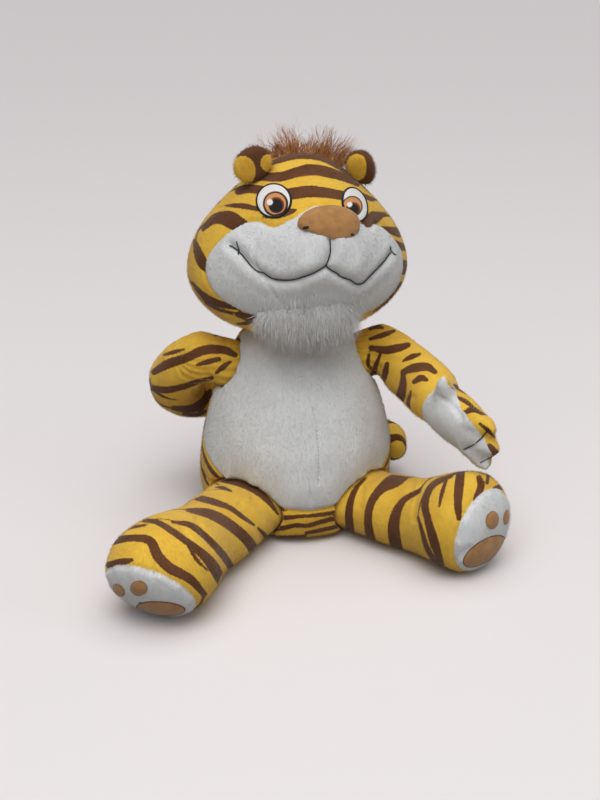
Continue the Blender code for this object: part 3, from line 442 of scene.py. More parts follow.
def pile_tree():
    """Fibres that stand on a fabric: thin cones, leaning with the nap, drooping and curling if they are long."""
    tree = bpy.data.node_groups.new("pile", "GeometryNodeTree")
    tree.interface.new_socket("Fabric", in_out="INPUT", socket_type="NodeSocketGeometry")
    for name, kind in (("Density", "Float"), ("Length", "Float"), ("Radius", "Float"), ("Nap", "Vector"),
                       ("Spread", "Float"), ("Droop", "Vector"), ("Curl", "Float"), ("Joints", "Int"),
                       ("Seed", "Int"), ("Fibre", "Material")):
        tree.interface.new_socket(name, in_out="INPUT", socket_type="NodeSocket" + kind)
    tree.interface.new_socket("Pile", in_out="OUTPUT", socket_type="NodeSocketGeometry")
    given = add_node(tree, "NodeGroupInput").outputs
    cover = add_node(tree, "GeometryNodeInputNamedAttribute", {"Name": "cover"}, data_type="FLOAT")
    dense = sums(tree, "MULTIPLY", given["Density"], live(cover.outputs, "Attribute"))
    roots = add_node(tree, "GeometryNodeDistributePointsOnFaces",
                     {"Mesh": given["Fabric"], "Seed": given["Seed"]},
                     distribute_method="RANDOM")
    tree.links.new(dense, live(roots.inputs, "Density"))
    stray = add_node(tree, "FunctionNodeRandomValue", {0: (-1, -1, -1), 1: (1, 1, 1), "Seed": given["Seed"]},
                     data_type="FLOAT_VECTOR").outputs[0]
    stray = add_node(tree, "ShaderNodeVectorMath", {0: stray, "Scale": given["Spread"]},
                     operation="SCALE").outputs[0]
    way = add_node(tree, "ShaderNodeVectorMath", {0: roots.outputs["Normal"], 1: given["Nap"]}).outputs[0]
    way = add_node(tree, "ShaderNodeVectorMath", {0: way, 1: stray}).outputs[0]
    turn = add_node(tree, "FunctionNodeAlignRotationToVector", {"Vector": way}, axis="Z").outputs[0]
    fibre = add_node(tree, "GeometryNodeMeshCone", {"Vertices": 3, "Side Segments": given["Joints"],
                                                    "Radius Top": 0.0,
                                                   "Radius Bottom": given["Radius"],
                                                   "Depth": given["Length"]},
                     fill_type="NONE").outputs["Mesh"]
    rise = add_node(tree, "ShaderNodeSeparateXYZ", {0: add_node(tree,
                                                                "GeometryNodeInputPosition").outputs[0]})
    share = sums(tree, "DIVIDE", rise.outputs["Z"], given["Length"])
    fibre = add_node(tree, "GeometryNodeStoreNamedAttribute", {"Geometry": fibre, "Name": "reach"},
                     data_type="FLOAT",
                     domain="POINT")
    tree.links.new(share, live(fibre.inputs, "Value"))
    size = add_node(tree, "FunctionNodeRandomValue", {2: 0.55, 3: 1.15, "Seed": given["Seed"]},
                    data_type="FLOAT")
    stood = add_node(tree, "GeometryNodeInstanceOnPoints", {"Points": roots.outputs["Points"],
                                                           "Instance": fibre.outputs["Geometry"],
                                                           "Rotation": turn,
                                                           "Scale": size.outputs[1]})
    tone = add_node(tree, "FunctionNodeRandomValue", {2: 0.0, 3: 1.0, "Seed": 7},
                    data_type="FLOAT").outputs[1]
    toned = add_node(tree, "GeometryNodeStoreNamedAttribute", {"Geometry": stood.outputs["Instances"],
                                                               "Name": "tone"},
                     data_type="FLOAT", domain="INSTANCE")
    tree.links.new(tone, live(toned.inputs, "Value"))
    real = add_node(tree, "GeometryNodeRealizeInstances", {"Geometry": toned.outputs["Geometry"]})
    reach = add_node(tree, "GeometryNodeInputNamedAttribute", {"Name": "reach"}, data_type="FLOAT")
    reach = live(reach.outputs, "Attribute")
    fall = add_node(tree, "ShaderNodeVectorMath", {0: given["Droop"],
                                                   "Scale": sums(tree, "POWER", reach, 1.6)},
                    operation="SCALE").outputs[0]
    wave = add_node(tree, "ShaderNodeTexNoise", {"Scale": 95.0, "Detail": 1.0}).outputs["Color"]
    wave = add_node(tree, "ShaderNodeVectorMath", {0: wave, 1: (0.5, 0.5, 0.5)},
                    operation="SUBTRACT").outputs[0]
    wave = add_node(tree, "ShaderNodeVectorMath", {0: wave, "Scale": sums(tree, "MULTIPLY", reach,
                                                                          given["Curl"])},
                    operation="SCALE").outputs[0]
    offset = add_node(tree, "ShaderNodeVectorMath", {0: fall, 1: wave}).outputs[0]
    bent = add_node(tree, "GeometryNodeSetPosition", {"Geometry": real.outputs["Geometry"], "Offset": offset})
    dyed = add_node(tree, "GeometryNodeSetMaterial", {"Geometry": bent.outputs["Geometry"],
                                                     "Material": given["Fibre"]})
    add_node(tree, "NodeGroupOutput", {"Pile": dyed.outputs["Geometry"]})
    return tree


PILE = pile_tree()


def grown(name, piece, tree, **inputs):
    """What a node tree grows on a piece, as a plain mesh piece of its own."""
    growth = piece.modifiers.new(name, "NODES")
    growth.node_group = tree
    names = {item.name: item.identifier for item in tree.interface.items_tree if item.in_out == "INPUT"}
    for socket, value in inputs.items():
        growth[names[socket]] = value
    bpy.context.view_layer.update()
    mesh = bpy.data.meshes.new_from_object(piece.evaluated_get(bpy.context.evaluated_depsgraph_get()))
    piece.modifiers.remove(growth)
    mesh.shade_smooth()
    return new_piece(name, mesh)


def short_pile(name, piece, finish, nap=(0, 0, -0.9), density=620000, length=0.0016, seed=1):
    return grown(name, piece, PILE, Density=density, Length=length, Radius=0.00014, Nap=nap, Spread=0.55,
                 Droop=(0, 0, 0), Curl=0.0, Joints=1, Seed=seed, Fibre=finish)


def stitch_tree():
    """A row of thread stitches along a line of points."""
    tree = bpy.data.node_groups.new("stitches", "GeometryNodeTree")
    tree.interface.new_socket("Line", in_out="INPUT", socket_type="NodeSocketGeometry")
    for name, kind in (("Stitch", "Float"), ("Gap", "Float"), ("Thread", "Float"), ("Yarn", "Material")):
        tree.interface.new_socket(name, in_out="INPUT", socket_type="NodeSocket" + kind)
    tree.interface.new_socket("Stitches", in_out="OUTPUT", socket_type="NodeSocketGeometry")
    given = add_node(tree, "NodeGroupInput").outputs
    line = add_node(tree, "GeometryNodeMeshToCurve", {"Mesh": given["Line"]}).outputs["Curve"]
    pitch = sums(tree, "ADD", given["Stitch"], given["Gap"])
    spaced = add_node(tree, "GeometryNodeResampleCurve", {"Curve": line, "Length": pitch}, mode="LENGTH")
    way = add_node(tree, "GeometryNodeInputTangent").outputs[0]
    turn = add_node(tree, "FunctionNodeAlignRotationToVector", {"Vector": way}, axis="X").outputs[0]
    bead = add_node(tree, "GeometryNodeMeshUVSphere", {"Segments": 6, "Rings": 5,
                                                       "Radius": 0.5}).outputs["Mesh"]
    shape = add_node(tree, "ShaderNodeCombineXYZ", {0: given["Stitch"], 1: given["Thread"],
                                                    2: given["Thread"]})
    sewn = add_node(tree, "GeometryNodeInstanceOnPoints", {"Points": spaced.outputs["Curve"],
                                                           "Instance": bead,
                                                          "Rotation": turn, "Scale": shape.outputs[0]})
    real = add_node(tree, "GeometryNodeRealizeInstances", {"Geometry": sewn.outputs["Instances"]})
    dyed = add_node(tree, "GeometryNodeSetMaterial", {"Geometry": real.outputs["Geometry"],
                                                      "Material": given["Yarn"]})
    add_node(tree, "NodeGroupOutput", {"Stitches": dyed.outputs["Geometry"]})
    return tree


STITCHES = stitch_tree()


def thread_finish(name, colour, roughness=0.5):
    """Polyester sewing thread: two twisted strands that catch the light."""
    material, tree, shader, place = new_finish(name, roughness, 0.4)
    strands = grain(tree, place, 2600, 1)
    shade = blended(tree, eased(tree, strands, 0.3, 0.7, 0, 1), colour,
                    tuple(c * 0.6 for c in colour[:3]) + (1,))
    tree.links.new(shade, shader.inputs["Base Color"])
    raised(tree, shader, strands, 0.4, 0.0002)
    return material


def sewn_lines(name, lines, stitch, gap, thread, yarn):
    """Rows of stitches along lines of places in millimetres."""
    mesh = bpy.data.meshes.new(name + "_lines")
    verts = []
    edges = []
    for line in lines:
        edges += [(len(verts) + k, len(verts) + k + 1) for k in range(len(line) - 1)]
        verts += [tuple(place * MM) for place in line]
    mesh.from_pydata(verts, edges, [])
    guide = new_piece(name + "_lines", mesh)
    piece = grown(name, guide, STITCHES, Stitch=stitch * MM, Gap=gap * MM, Thread=thread * MM, Yarn=yarn)
    bpy.data.objects.remove(guide)
    return piece


def head_aim(around, above):
    """A ray from the head's middle to a place given in degrees round and up from the middle of the face."""
    turn, rise = math.radians(around), math.radians(above)
    way = Vector((math.sin(turn) * math.cos(rise), -math.cos(turn) * math.cos(rise), math.sin(rise)))
    return NECK + HEAD_SET @ HEAD_MIDDLE, HEAD_SET @ way


def head_places(points):
    """Degrees round and up of points in millimetres, as the head's marks are given."""
    local = (points - np.array(NECK) / MM) @ np.array(HEAD_SET) - np.array(HEAD_MIDDLE) / MM
    return (np.degrees(np.arctan2(local[:, 0], -local[:, 1])),
            np.degrees(np.arctan2(local[:, 2], np.hypot(local[:, 0], local[:, 1]))))


def back_bands(heights, first, last, middle, width):
    """Stripes that come round from both sides and taper off towards the middle of the back, turn about."""
    bands = []
    for k, height in enumerate(heights):
        for side in (-1, 1):
            end = middle + (10 if (k + (side > 0)) % 2 else -22)
            steps = np.linspace(first, end, 5)
            swell = (0.45, 1.0, 1.1, 0.85, 0.25)
            bands.append([(side * a, height + last * math.sin(1.3 * j + k) + side * 1.5, width * s)
                          for j, (a, s) in enumerate(zip(steps, swell))])
    return bands


head = sewn_skin("head_plush", ("head_cover", "face_panel", "head_stuffing"))
start = points_of(head)
near_seam = np.abs(away_from(start, laid(skin_tree(head), head_aim, FACE_SEAM, closed=True)))
fill(head, np.maximum(faded(near_seam, 3.0), start[:, 2] < HEAD_HELD_BELOW), HEAD_SWELL)
refine(head)
skin = skin_tree(head)
face_seam = laid(skin, head_aim, FACE_SEAM, closed=True)
mouth = [laid(skin, head_aim, line) for line in MOUTH_LINES]
points = points_of(head)
to_seam = np.abs(away_from(points, face_seam))
to_mouth = away_from(points, np.vstack(mouth[:3]))
to_muzzle = away_from(points, laid(skin, head_aim, MUZZLE_SEAM))
push_out(head, -FACE_SEAM_DEPTH * faded(to_seam, 1.7) - MOUTH_DEPTH * faded(to_mouth, 3.0)
         - MUZZLE_DEPTH * faded(to_muzzle, 1.6) + LIP_RISE * faded(to_mouth - 8, 4.5))
points = points_of(head)
across, above = head_places(points)
stripes = list(HEAD_STRIPES) + back_bands(HEAD_BACK_HEIGHTS, 100, 2.5, 160, 3.2)
in_face = inside(FACE_SEAM, across, above)
skin = skin_tree(head)
write_marks(head,
            stripe=np.minimum(gap_to_lines(points, skin, head_aim, stripes), seen_gap(head, HEAD_SEEN)),
            white=np.where(in_face, -to_seam, to_seam),
            cover=np.where(away_from(points, np.vstack(mouth)) > 1.6, 1.0,
                           0.0) * (points[:, 2] > HEAD_BARE_BELOW))
plush = plush_finish("head_plush")
head.data.materials.append(plush)
head_pile = short_pile("head_pile", head, plush, nap=(0, -0.1, -0.85), seed=3)
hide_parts("head_cover", "face_panel", "head_stuffing")
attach(head, "head")
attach(head_pile, "head")

# Mouth and cheeks: thin black thread sewn by hand into the crease of the white panel, with a short stitch
# across each end of the smile.

BLACK_THREAD = (0.012, 0.011, 0.011, 1)
black_thread = thread_finish("black_thread", BLACK_THREAD)


def on_skin(tree, marks, lift):
    """A smooth line of places on a skin, lifted off it by so many millimetres."""
    row = []
    for place in marks[:, :3]:
        near, normal, _, _ = tree.find_nearest(Vector(place) * MM)
        row.append(np.array(near) / MM + np.array(normal) * lift)
    row = np.array(row)
    for _ in range(12):
        row[1:-1] = (row[:-2] + 2 * row[1:-1] + row[2:]) / 4
    return row


mouth_thread = sewn_lines("mouth_thread", [on_skin(skin, line, 0.9) for line in mouth], 2.4, -0.9, 1.05,
                          black_thread)
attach(mouth_thread, "head")

# Eyes: round patches embroidered in satin stitch, white round an orange ring and a black middle, with a white
# glint. Black satin outlines them and holds them to the face, and a brown lid is stitched below.

PATCH_RINGS = 26
PATCH_STEPS = 72
IRIS = (0.76, 0.34, 0.13, 1)
IRIS_DEEP = (0.20, 0.055, 0.018, 1)
EYE_WHITE = (0.93, 0.93, 0.92, 1)


def eye_finish(name, spots):
    """Satin stitch: dense shiny threads, which change colour from spot to spot. Places on it are in millimetres."""
    material, tree, shader, place = new_finish(name, 0.5, 0.25)
    flat = add_node(tree, "ShaderNodeUVMap", uv_map="UVMap").outputs["UV"]
    apart = add_node(tree, "ShaderNodeSeparateXYZ", {0: flat})
    threads = add_node(tree, "ShaderNodeTexWave", {"Vector": flat, "Scale": 2.2, "Distortion": 0.6,
                                                   "Detail": 1.0}, bands_direction="X").outputs["Fac"]
    colour = EYE_WHITE
    for x, y, radius, tint in spots:
        across = sums(tree, "POWER", sums(tree, "SUBTRACT", apart.outputs[0], x), 2.0)
        up = sums(tree, "POWER", sums(tree, "SUBTRACT", apart.outputs[1], y), 2.0)
        gap = sums(tree, "SQRT", sums(tree, "ADD", across, up))
        edge = sums(tree, "ADD", gap, sums(tree, "MULTIPLY", grain(tree, place, 700, 1), 0.5))
        colour = blended(tree, eased(tree, edge, radius, radius + 0.5, 1, 0), colour, tint)
    shade = add_node(tree, "ShaderNodeHueSaturation", {"Value": eased(tree, threads, 0, 1, 0.82, 1.08),
                                                       "Color": colour}).outputs["Color"]
    tree.links.new(shade, shader.inputs["Base Color"])
    raised(tree, shader, threads, 0.5, 0.0003)
    return material


def turn_towards(work, way):
    """Turns a sheet's faces to the side that shows."""
    work.normal_update()
    if sum(face.normal.dot(way) for face in work.faces) < 0:
        bmesh.ops.reverse_faces(work, faces=work.faces)


def piece_from(work, name, finish):
    mesh = bpy.data.meshes.new(name)
    work.to_mesh(mesh)
    work.free()
    mesh.materials.append(finish)
    return new_piece(name, mesh)


def sewn_patch(name, tree, middle, half_wide, half_high, tilt, finish, rise=1.4):
    """A patch that lies on the skin where the picture shows it, domed by the padding under it."""
    mesh = bmesh.new()
    layer = mesh.loops.layers.uv.new("UVMap")
    rows = []
    flat = {}
    turn = math.radians(tilt)
    first = tree.ray_cast(LENS * MM, seen_at(*middle))[0]
    per_pixel = (first / MM - LENS).length / FOCAL
    for ring in range(PATCH_RINGS + 1):
        share = ring / PATCH_RINGS
        row = []
        for step in range(1 if ring == 0 else PATCH_STEPS):
            angle = 2 * math.pi * step / PATCH_STEPS
            u = math.cos(angle) * half_wide * share
            v = math.sin(angle) * half_high * share
            across = u * math.cos(turn) - v * math.sin(turn)
            up = u * math.sin(turn) + v * math.cos(turn)
            hit, normal, _, _ = tree.ray_cast(LENS * MM, seen_at(middle[0] + across, middle[1] - up))
            if hit is None or (hit - first).length > 0.04:
                hit, normal, _, _ = tree.find_nearest(first + (VIEW_RIGHT * across + VIEW_UP * up) * per_pixel * MM)
            lift = rise * math.sqrt(max(0, 1 - share ** 2)) + 0.25
            vert = mesh.verts.new(hit + normal * lift * MM)
            flat[vert] = (across * per_pixel, up * per_pixel)
            row.append(vert)
        rows.append(row)
    for step in range(PATCH_STEPS):
        after = (step + 1) % PATCH_STEPS
        mesh.faces.new((rows[0][0], rows[1][step], rows[1][after]))
        for inner, outer in zip(rows[1:], rows[2:]):
            mesh.faces.new((inner[step], outer[step], outer[after], inner[after]))
    turn_towards(mesh, VIEW)
    for face in mesh.faces:
        for loop in face.loops:
            loop[layer].uv = flat[loop.vert]
    rim = [np.array(vert.co) / MM for vert in rows[-1]] + [np.array(rows[-1][0].co) / MM]
    piece = piece_from(mesh, name, finish)
    piece.data.shade_smooth()
    return piece, rim


def satin_rim(name, line, wide, yarn, pitch=0.42):
    """Satin stitches side by side across a line, which make a raised cord."""
    mesh = bmesh.new()
    line = np.array(line)
    way = np.gradient(line, axis=0)
    steps = np.concatenate(([0], np.cumsum(np.linalg.norm(np.diff(line, axis=0), axis=1))))
    spots = np.arange(0, steps[-1], pitch)
    places = np.stack([np.interp(spots, steps, line[:, k]) for k in range(3)], 1)
    ways = np.stack([np.interp(spots, steps, way[:, k]) for k in range(3)], 1)
    for place, along in zip(places, ways):
        along = Vector(along).normalized()
        side = VIEW.cross(along).normalized()
        face = along.cross(side) * (1 if along.cross(side).dot(VIEW) > 0 else -1)
        arch = []
        for turn in np.linspace(-0.45 * math.pi, 0.45 * math.pi, 6):
            middle = Vector(place) + side * math.sin(turn) * wide / 2 + face * (math.cos(turn) * wide * 0.30 - 0.1)
            arch.append([mesh.verts.new((middle + along * a + face * b) * MM)
                         for a, b in ((-pitch * 0.62, 0), (0, pitch * 0.55), (pitch * 0.62, 0))])
        for left, right in zip(arch, arch[1:]):
            mesh.faces.new((left[0], right[0], right[1], left[1]))
            mesh.faces.new((left[1], right[1], right[2], left[2]))
    turn_towards(mesh, VIEW)
    return piece_from(mesh, name, yarn)


DARK = (0.05, 0.02, 0.012, 1)
LID = (0.105, 0.042, 0.020, 1)
# Each eye: its middle in the picture, half its width and height in pixels, its tilt, and its round spots from
# the widest up, as millimetres across and up, radius and thread
EYE_SPOTS = {
    "eye_right": ((274, 201), 17, 16.6, 0,
                  ((1.54, -2.93, 9.5, DARK), (1.4, -2.7, 7.9, IRIS), (2.2, -3.9, 5.9, IRIS_DEEP),
                   (2.0, -4.4, 5.0, BLACK_THREAD), (-2.6, -1.7, 2.3, EYE_WHITE),
                   (12.65, -38.5, 30.0, DARK), (12.65, -38.5, 28.9, LID))),
    "eye_left": ((354.6, 204.8), 11.5, 17.2, 20,
                 ((-2.6, -2.0, 7.9, DARK), (-2.5, -1.9, 6.9, IRIS), (-1.9, -4.3, 5.4, IRIS_DEEP),
                  (-2.3, -4.8, 4.6, BLACK_THREAD), (-4.4, -0.6, 1.9, EYE_WHITE))),
}
for node, (middle, wide, high, tilt, spots) in EYE_SPOTS.items():
    patch, rim = sewn_patch(node + "_patch", skin, middle, wide, high, tilt, eye_finish(node, spots), 1.2)
    outline = satin_rim(node + "_outline", rim, 1.9, black_thread)
    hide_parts(node)
    for piece in (patch, outline):
        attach(piece, "head")

# Nose: a padded triangle of tan suede with its edge turned under, sewn on above the mouth. Two black marks
# are embroidered on it as nostrils.

TAN = (0.46, 0.235, 0.085, 1)
NOSE_MIDDLE, NOSE_FADE, NOSE_BULGE = 222, 16, 0.7
# Where the nose's lower edge hangs lower, in pixels from the left and down
NOSE_DROP = ((303, -4.5), (314, -1.5), (336, 4), (353, 5), (364, 3.5))


def suede_finish(name, colour):
    """Brushed suede: matt, with lighter and darker places where the nap turns."""
    material, tree, shader, place = new_finish(name, 0.85, 0.15, 0.35, (1, 0.95, 0.9, 1))
    cloud = grain(tree, place, 160, 3)
    deep = tuple(c * 0.72 for c in colour[:3]) + (1,)
    shade = blended(tree, eased(tree, cloud, 0.3, 0.7, 0, 1), colour, deep)
    fine = grain(tree, place, 1900, 2)
    shade = add_node(tree, "ShaderNodeHueSaturation", {"Value": eased(tree, fine, 0.3, 0.7, 0.9, 1.08),
                                                       "Color": shade}).outputs["Color"]
    tree.links.new(shade, shader.inputs["Base Color"])
    raised(tree, shader, fine, 0.45, 0.0003)
    return material


tan_suede = suede_finish("tan_suede", TAN)
nose = sewn_skin("nose_suede", ("nose",), 0.0011)
refine(nose)
points = points_of(nose)
x, y = seen_from(points)
low = np.clip((y - NOSE_MIDDLE) / NOSE_FADE, 0, 1)
drop = np.interp(x, *np.array(NOSE_DROP).T) * low * PER_PIXEL
move_points(nose, points - np.array(VIEW_UP) * drop[:, None] + np.array(VIEW) * NOSE_BULGE * low[:, None])
nose.data.materials.append(tan_suede)
nose_tree = skin_tree(nose)
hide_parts("nose")
for name, middle, wide, high, tilt in (("nostril_right", (306, 227.5), 3.3, 1.6, 12),
                                       ("nostril_left", (352.3, 234.5), 2.0, 1.1, -18)):
    if nose_tree.ray_cast(LENS * MM, seen_at(*middle))[0]:
        patch, _ = sewn_patch(name, nose_tree, middle, wide, high, tilt, black_thread, 0.5)
        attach(patch, "head")
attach(nose, "head")

# Chin ruff: a tuft of long white pile under the mouth. It is a strip of long-haired fabric sewn into the chin
# seam, and its fibres hang, spread and curl a little. Shorter fibres on the chin itself hide the strip's
# upper edge.

RUFF_NARROWS_AT = 22


def fibre_finish(name, dark, light, *gloss):
    """Long fibres, each in its own shade between a dark and a light one."""
    material, tree, shader, _ = new_finish(name, *gloss)
    tree.links.new(blended(tree, mark(tree, "tone"), dark, light), shader.inputs["Base Color"])
    return material


white_fibre = fibre_finish("white_fibre", (0.66, 0.665, 0.65, 1), (0.80, 0.805, 0.79, 1), 0.8, 0.2, 0.15)
ruff = sewn_skin("ruff_base", ("chin_ruff",), 0.0025)
points = points_of(ruff)
points[:, 0] -= 0.5 * np.maximum(points[:, 0] - RUFF_NARROWS_AT, 0)
move_points(ruff, points)
write_marks(ruff, cover=np.ones(len(points)))
ruff.data.materials.append(white_fibre)
ruff_hair = grown("ruff_hair", ruff, PILE, Density=560000, Length=0.0095, Radius=0.00020,
                  Nap=(0, -0.25, -0.9),
                  Spread=0.6, Droop=(0, -0.001, -0.003), Curl=0.011, Joints=5, Seed=11, Fibre=white_fibre)
points = points_of(head)
x, y = seen_from(points)
pile_cover = np.zeros(len(points), np.float32)
head.data.attributes["cover"].data.foreach_get("value", pile_cover)
fluff = np.clip((y - 291) / 16, 0, 1) * np.clip((326 - y) / 8, 0, 1)
fluff *= np.clip((x - 256) / 14, 0, 1) * np.clip((363 - x) / 12, 0, 1)
write_marks(head, cover=fluff * (outward_of(head) @ np.array(VIEW) > -0.3))
chin_hair = grown("chin_hair", head, PILE, Density=330000, Length=0.0075, Radius=0.00018, Nap=(0, -0.5, -1.1),
                  Spread=0.55, Droop=(0, 0, -0.001), Curl=0.007, Joints=4, Seed=12, Fibre=white_fibre)
write_marks(head, cover=pile_cover)
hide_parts("chin_ruff")
for piece in (ruff, ruff_hair, chin_hair):
    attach(piece, "head")

# Hair tuft: brown fur on the crown between the ears. Its fibres rise from a narrow strip in seven locks,
# which lean apart and differ in length, with single wisps between them. Each fibre has its own shade.

TUFT_LINE = ((266, 166), (283, 159), (300, 156), (322, 160), (342, 169))
# Each lock: its place along the picture's width, its spread in pixels, its fibres' length in metres and its
# lean
LOCKS = ((270, 7, 0.027, (-0.95, -0.25, 0.7)), (283, 7, 0.024, (-0.55, -0.2, 0.9)),
         (295, 6, 0.031, (-0.5, -0.3, 1.0)), (309, 8, 0.019, (0.0, -0.25, 1.0)),
         (321, 6, 0.031, (0.2, -0.25, 1.0)),
         (331, 6, 0.029, (0.75, -0.2, 0.85)), (340, 7, 0.023, (0.8, -0.2, 0.4)))
brown_fibre = fibre_finish("brown_fibre", (0.26, 0.080, 0.016, 1), (0.74, 0.34, 0.10, 1), 0.6, 0.35, 0.2,
                           (1, 0.8, 0.6, 1))
strip = bmesh.new()
strip_rows = []
for place in flowing(TUFT_LINE, 8):
    row = []
    for step in range(5):
        hit, normal, _, _ = skin.find_nearest((LENS + seen_at(place[0],
                                                              place[1] - step * 1.5) * (DISTANCE - 30)
                                               + Vector((0, step * 3.5, 0))) * MM)
        row.append(strip.verts.new(hit + normal * 0.4 * MM))
    strip_rows.append(row)
for near_row, far_row in zip(strip_rows, strip_rows[1:]):
    for near_a, near_b, far_a, far_b in zip(near_row, near_row[1:], far_row, far_row[1:]):
        strip.faces.new((near_a, far_a, far_b, near_b))
turn_towards(strip, Vector((0, 0, 1)))
tuft = piece_from(strip, "tuft_strip", brown_fibre)
x = seen_from(points_of(tuft))[0]
locks = []
for number, (middle, wide, length, lean) in enumerate(LOCKS):
    write_marks(tuft, cover=faded(x - middle, wide))
    locks.append(grown("tuft_lock_%d" % number, tuft, PILE, Density=1700000, Length=length, Radius=0.00025,
                       Nap=lean,
                       Spread=0.42, Droop=(0, -0.001, -0.003), Curl=0.022, Joints=6, Seed=5 + number,
                       Fibre=brown_fibre))
write_marks(tuft, cover=np.ones(len(x)))
locks.append(grown("tuft_wisps", tuft, PILE, Density=330000, Length=0.026, Radius=0.00022, Nap=(0, -0.2, 0.7),
                   Spread=1.0, Droop=(0, -0.001, -0.005), Curl=0.03, Joints=6, Seed=15, Fibre=brown_fibre))
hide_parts("hair_tuft")
for piece in [tuft] + locks:
    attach(piece, "head")

# Ears: each is two round pieces of fabric sewn edge to edge, brown behind and round the edge, with yellow
# patches of longer pile in front. They are folded at the root and stand on the head's sides.

EAR_PER_PIXEL = 0.78
EAR_DRAWN_IN, EAR_DRAWN_FROM = 0.38, 364
# The yellow patches in the picture: middle and half width and height in pixels
EAR_SPOTS = {"ear_right": ((243, 171, 12.5, 15), (268, 163, 7.5, 8.5)), "ear_left": ((357, 167, 11, 13),)}
for ear_name, spots in EAR_SPOTS.items():
    ear = sewn_skin(ear_name, (ear_name + "_front", ear_name + "_back"), 0.0022)
    refine(ear)
    points = points_of(ear)
    x, y = seen_from(points)
    if ear_name == "ear_left":
        points -= np.array(VIEW_RIGHT) * (EAR_DRAWN_IN * PER_PIXEL * np.maximum(x - EAR_DRAWN_FROM, 0))[:,
                                                                                                        None]
        move_points(ear, points)
    patch_gap = np.min([(np.hypot((x - spot_x) / wide, (y - spot_y) / high) * min(wide, high) * EAR_PER_PIXEL
                         - min(wide, high) * EAR_PER_PIXEL) for spot_x, spot_y, wide, high in spots], axis=0)
    front = outward_of(ear) @ np.array(VIEW) > -0.1
    write_marks(ear, stripe=np.where(front, -patch_gap, -2.0), white=np.full(len(points), NO_MARK),
                cover=np.ones(len(points)))
    ear.data.materials.append(plush)
    ear_pile = grown(ear_name + "_pile", ear, PILE, Density=800000, Length=0.0024, Radius=0.00015,
                     Nap=(0, -0.1, 0.1),
                     Spread=0.7, Droop=(0, 0, -0.0004), Curl=0.002, Joints=2, Seed=21, Fibre=plush)
    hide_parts(ear_name + "_front", ear_name + "_back")
    for piece in (ear, ear_pile):
        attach(piece, ear_name)

# Body: a padded sack that sits flat, yellow with brown stripes behind and below, and with a white belly
# panel. The belly panel is sewn in along the sides, and a short dart down its front gives the belly its
# roundness.

BODY_SEEN = (
    ((261, 507, 1.2), (269, 508.6, 1.7), (278, 509.8, 1.6), (287, 510, 1.2)),
    ((257, 516, 1.2), (268, 517.2, 2.0), (284, 517.8, 2.4), (298, 516.5, 2.0), (306, 516, 1.9)),
    ((247, 520.3, 1.4), (254, 524.3, 3.1), (268, 528.3, 2.8), (283, 527.9, 2.6), (294, 525.6, 2.3),
     (306, 525.7, 2.2)),
    ((254, 539, 1.4), (276, 537.4, 1.9), (290, 537, 1.8), (305, 535.7, 1.4)),
    ((308, 516.1, 2.0), (320, 514.6, 2.1), (334, 512.6, 2.1), (346, 510, 1.6), (355, 507.9, 1.2)),
    ((308, 525.7, 2.3), (320, 522.1, 2.5), (334, 518.6, 2.5), (349, 515.7, 2.5), (359, 511, 2.6),
     (369, 504, 2.4)),
    ((306, 533, 1.8), (320, 530.4, 2.2), (334, 527.2, 2.2), (349, 524, 2.3), (359, 520.7, 1.6)),
    ((307, 538.6, 1.3), (326, 537.6, 1.7), (340, 535.9, 1.9), (351, 533.4, 1.6)),
)
BODY_STRIPES = (
    ((-95, 68, 1.2), (-82, 62, 2.6), (-66, 49, 3.0), (-50, 37, 2.6), (-36, 29, 1.4)),
    ((95, 70, 1.2), (82, 62, 2.4), (66, 49, 2.8), (50, 38, 2.4), (36, 31, 1.2)),
    ((-100, 82, 1.4), (-92, 77, 2.6), (-84, 74, 1.4)), ((100, 50, 1.2), (84, 40, 2.4), (70, 28, 2.0),
                                                        (60, 14, 1.0)),
    ((-100, 50, 1.2), (-84, 40, 2.4), (-70, 28, 2.0), (-60, 14, 1.0)),
)
BELLY_EDGE = ((0, 31), (30, 34), (45, 40), (54, 46), (65, 55), (80, 67), (100, 76))
BODY_BACK_HEIGHTS = (148, 126, 104, 83, 62, 41, 21)


def body_aim(around, height):
    a = math.radians(around)
    return Vector((0, 0, height * MM)), Vector((math.sin(a), -math.cos(a), 0))


def gap_to(points, nodes):
    """How far points in millimetres are from the nearest of these CAD solids."""
    trees = [skin_tree(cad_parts[node]) for node in nodes]
    return np.array([min(tree.find_nearest(Vector(place) * MM)[3] for tree in trees) for place in points]) / MM


def panel_skin(name, own, panels, others, most, body, flat_below=3.0):
    """A stuffed form's skin with its panels' seams drawn in: the piece, and how far each point is from a panel."""
    nodes = own + panels
    piece = sewn_skin(name, nodes)
    start = points_of(piece)
    covers = [node for node in own if not node.endswith("stuffing")]
    seam = gap_to(start, panels) - gap_to(start, covers) if panels else np.full(len(start), 50.0)
    near = gap_to(start, others)
    held = np.maximum.reduce((faded(seam, 3.0), np.clip((11 - near) / 7, 0, 1),
                              (start[:, 2] < flat_below).astype(float)))
    fill(piece, held, most)
    refine(piece)
    points = points_of(piece)
    seam = gap_to(points, panels) - gap_to(points, covers) if panels else np.full(len(points), 50.0)
    push_out(piece, -1.2 * faded(seam, 1.6))
    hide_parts(*nodes)
    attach(piece, body)
    return piece, seam


def wear_pile(piece, finish, body, slot_name, **settings):
    pile = short_pile(piece.name.replace("_plush", "_pile"), piece, finish, **settings)
    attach(pile, body)


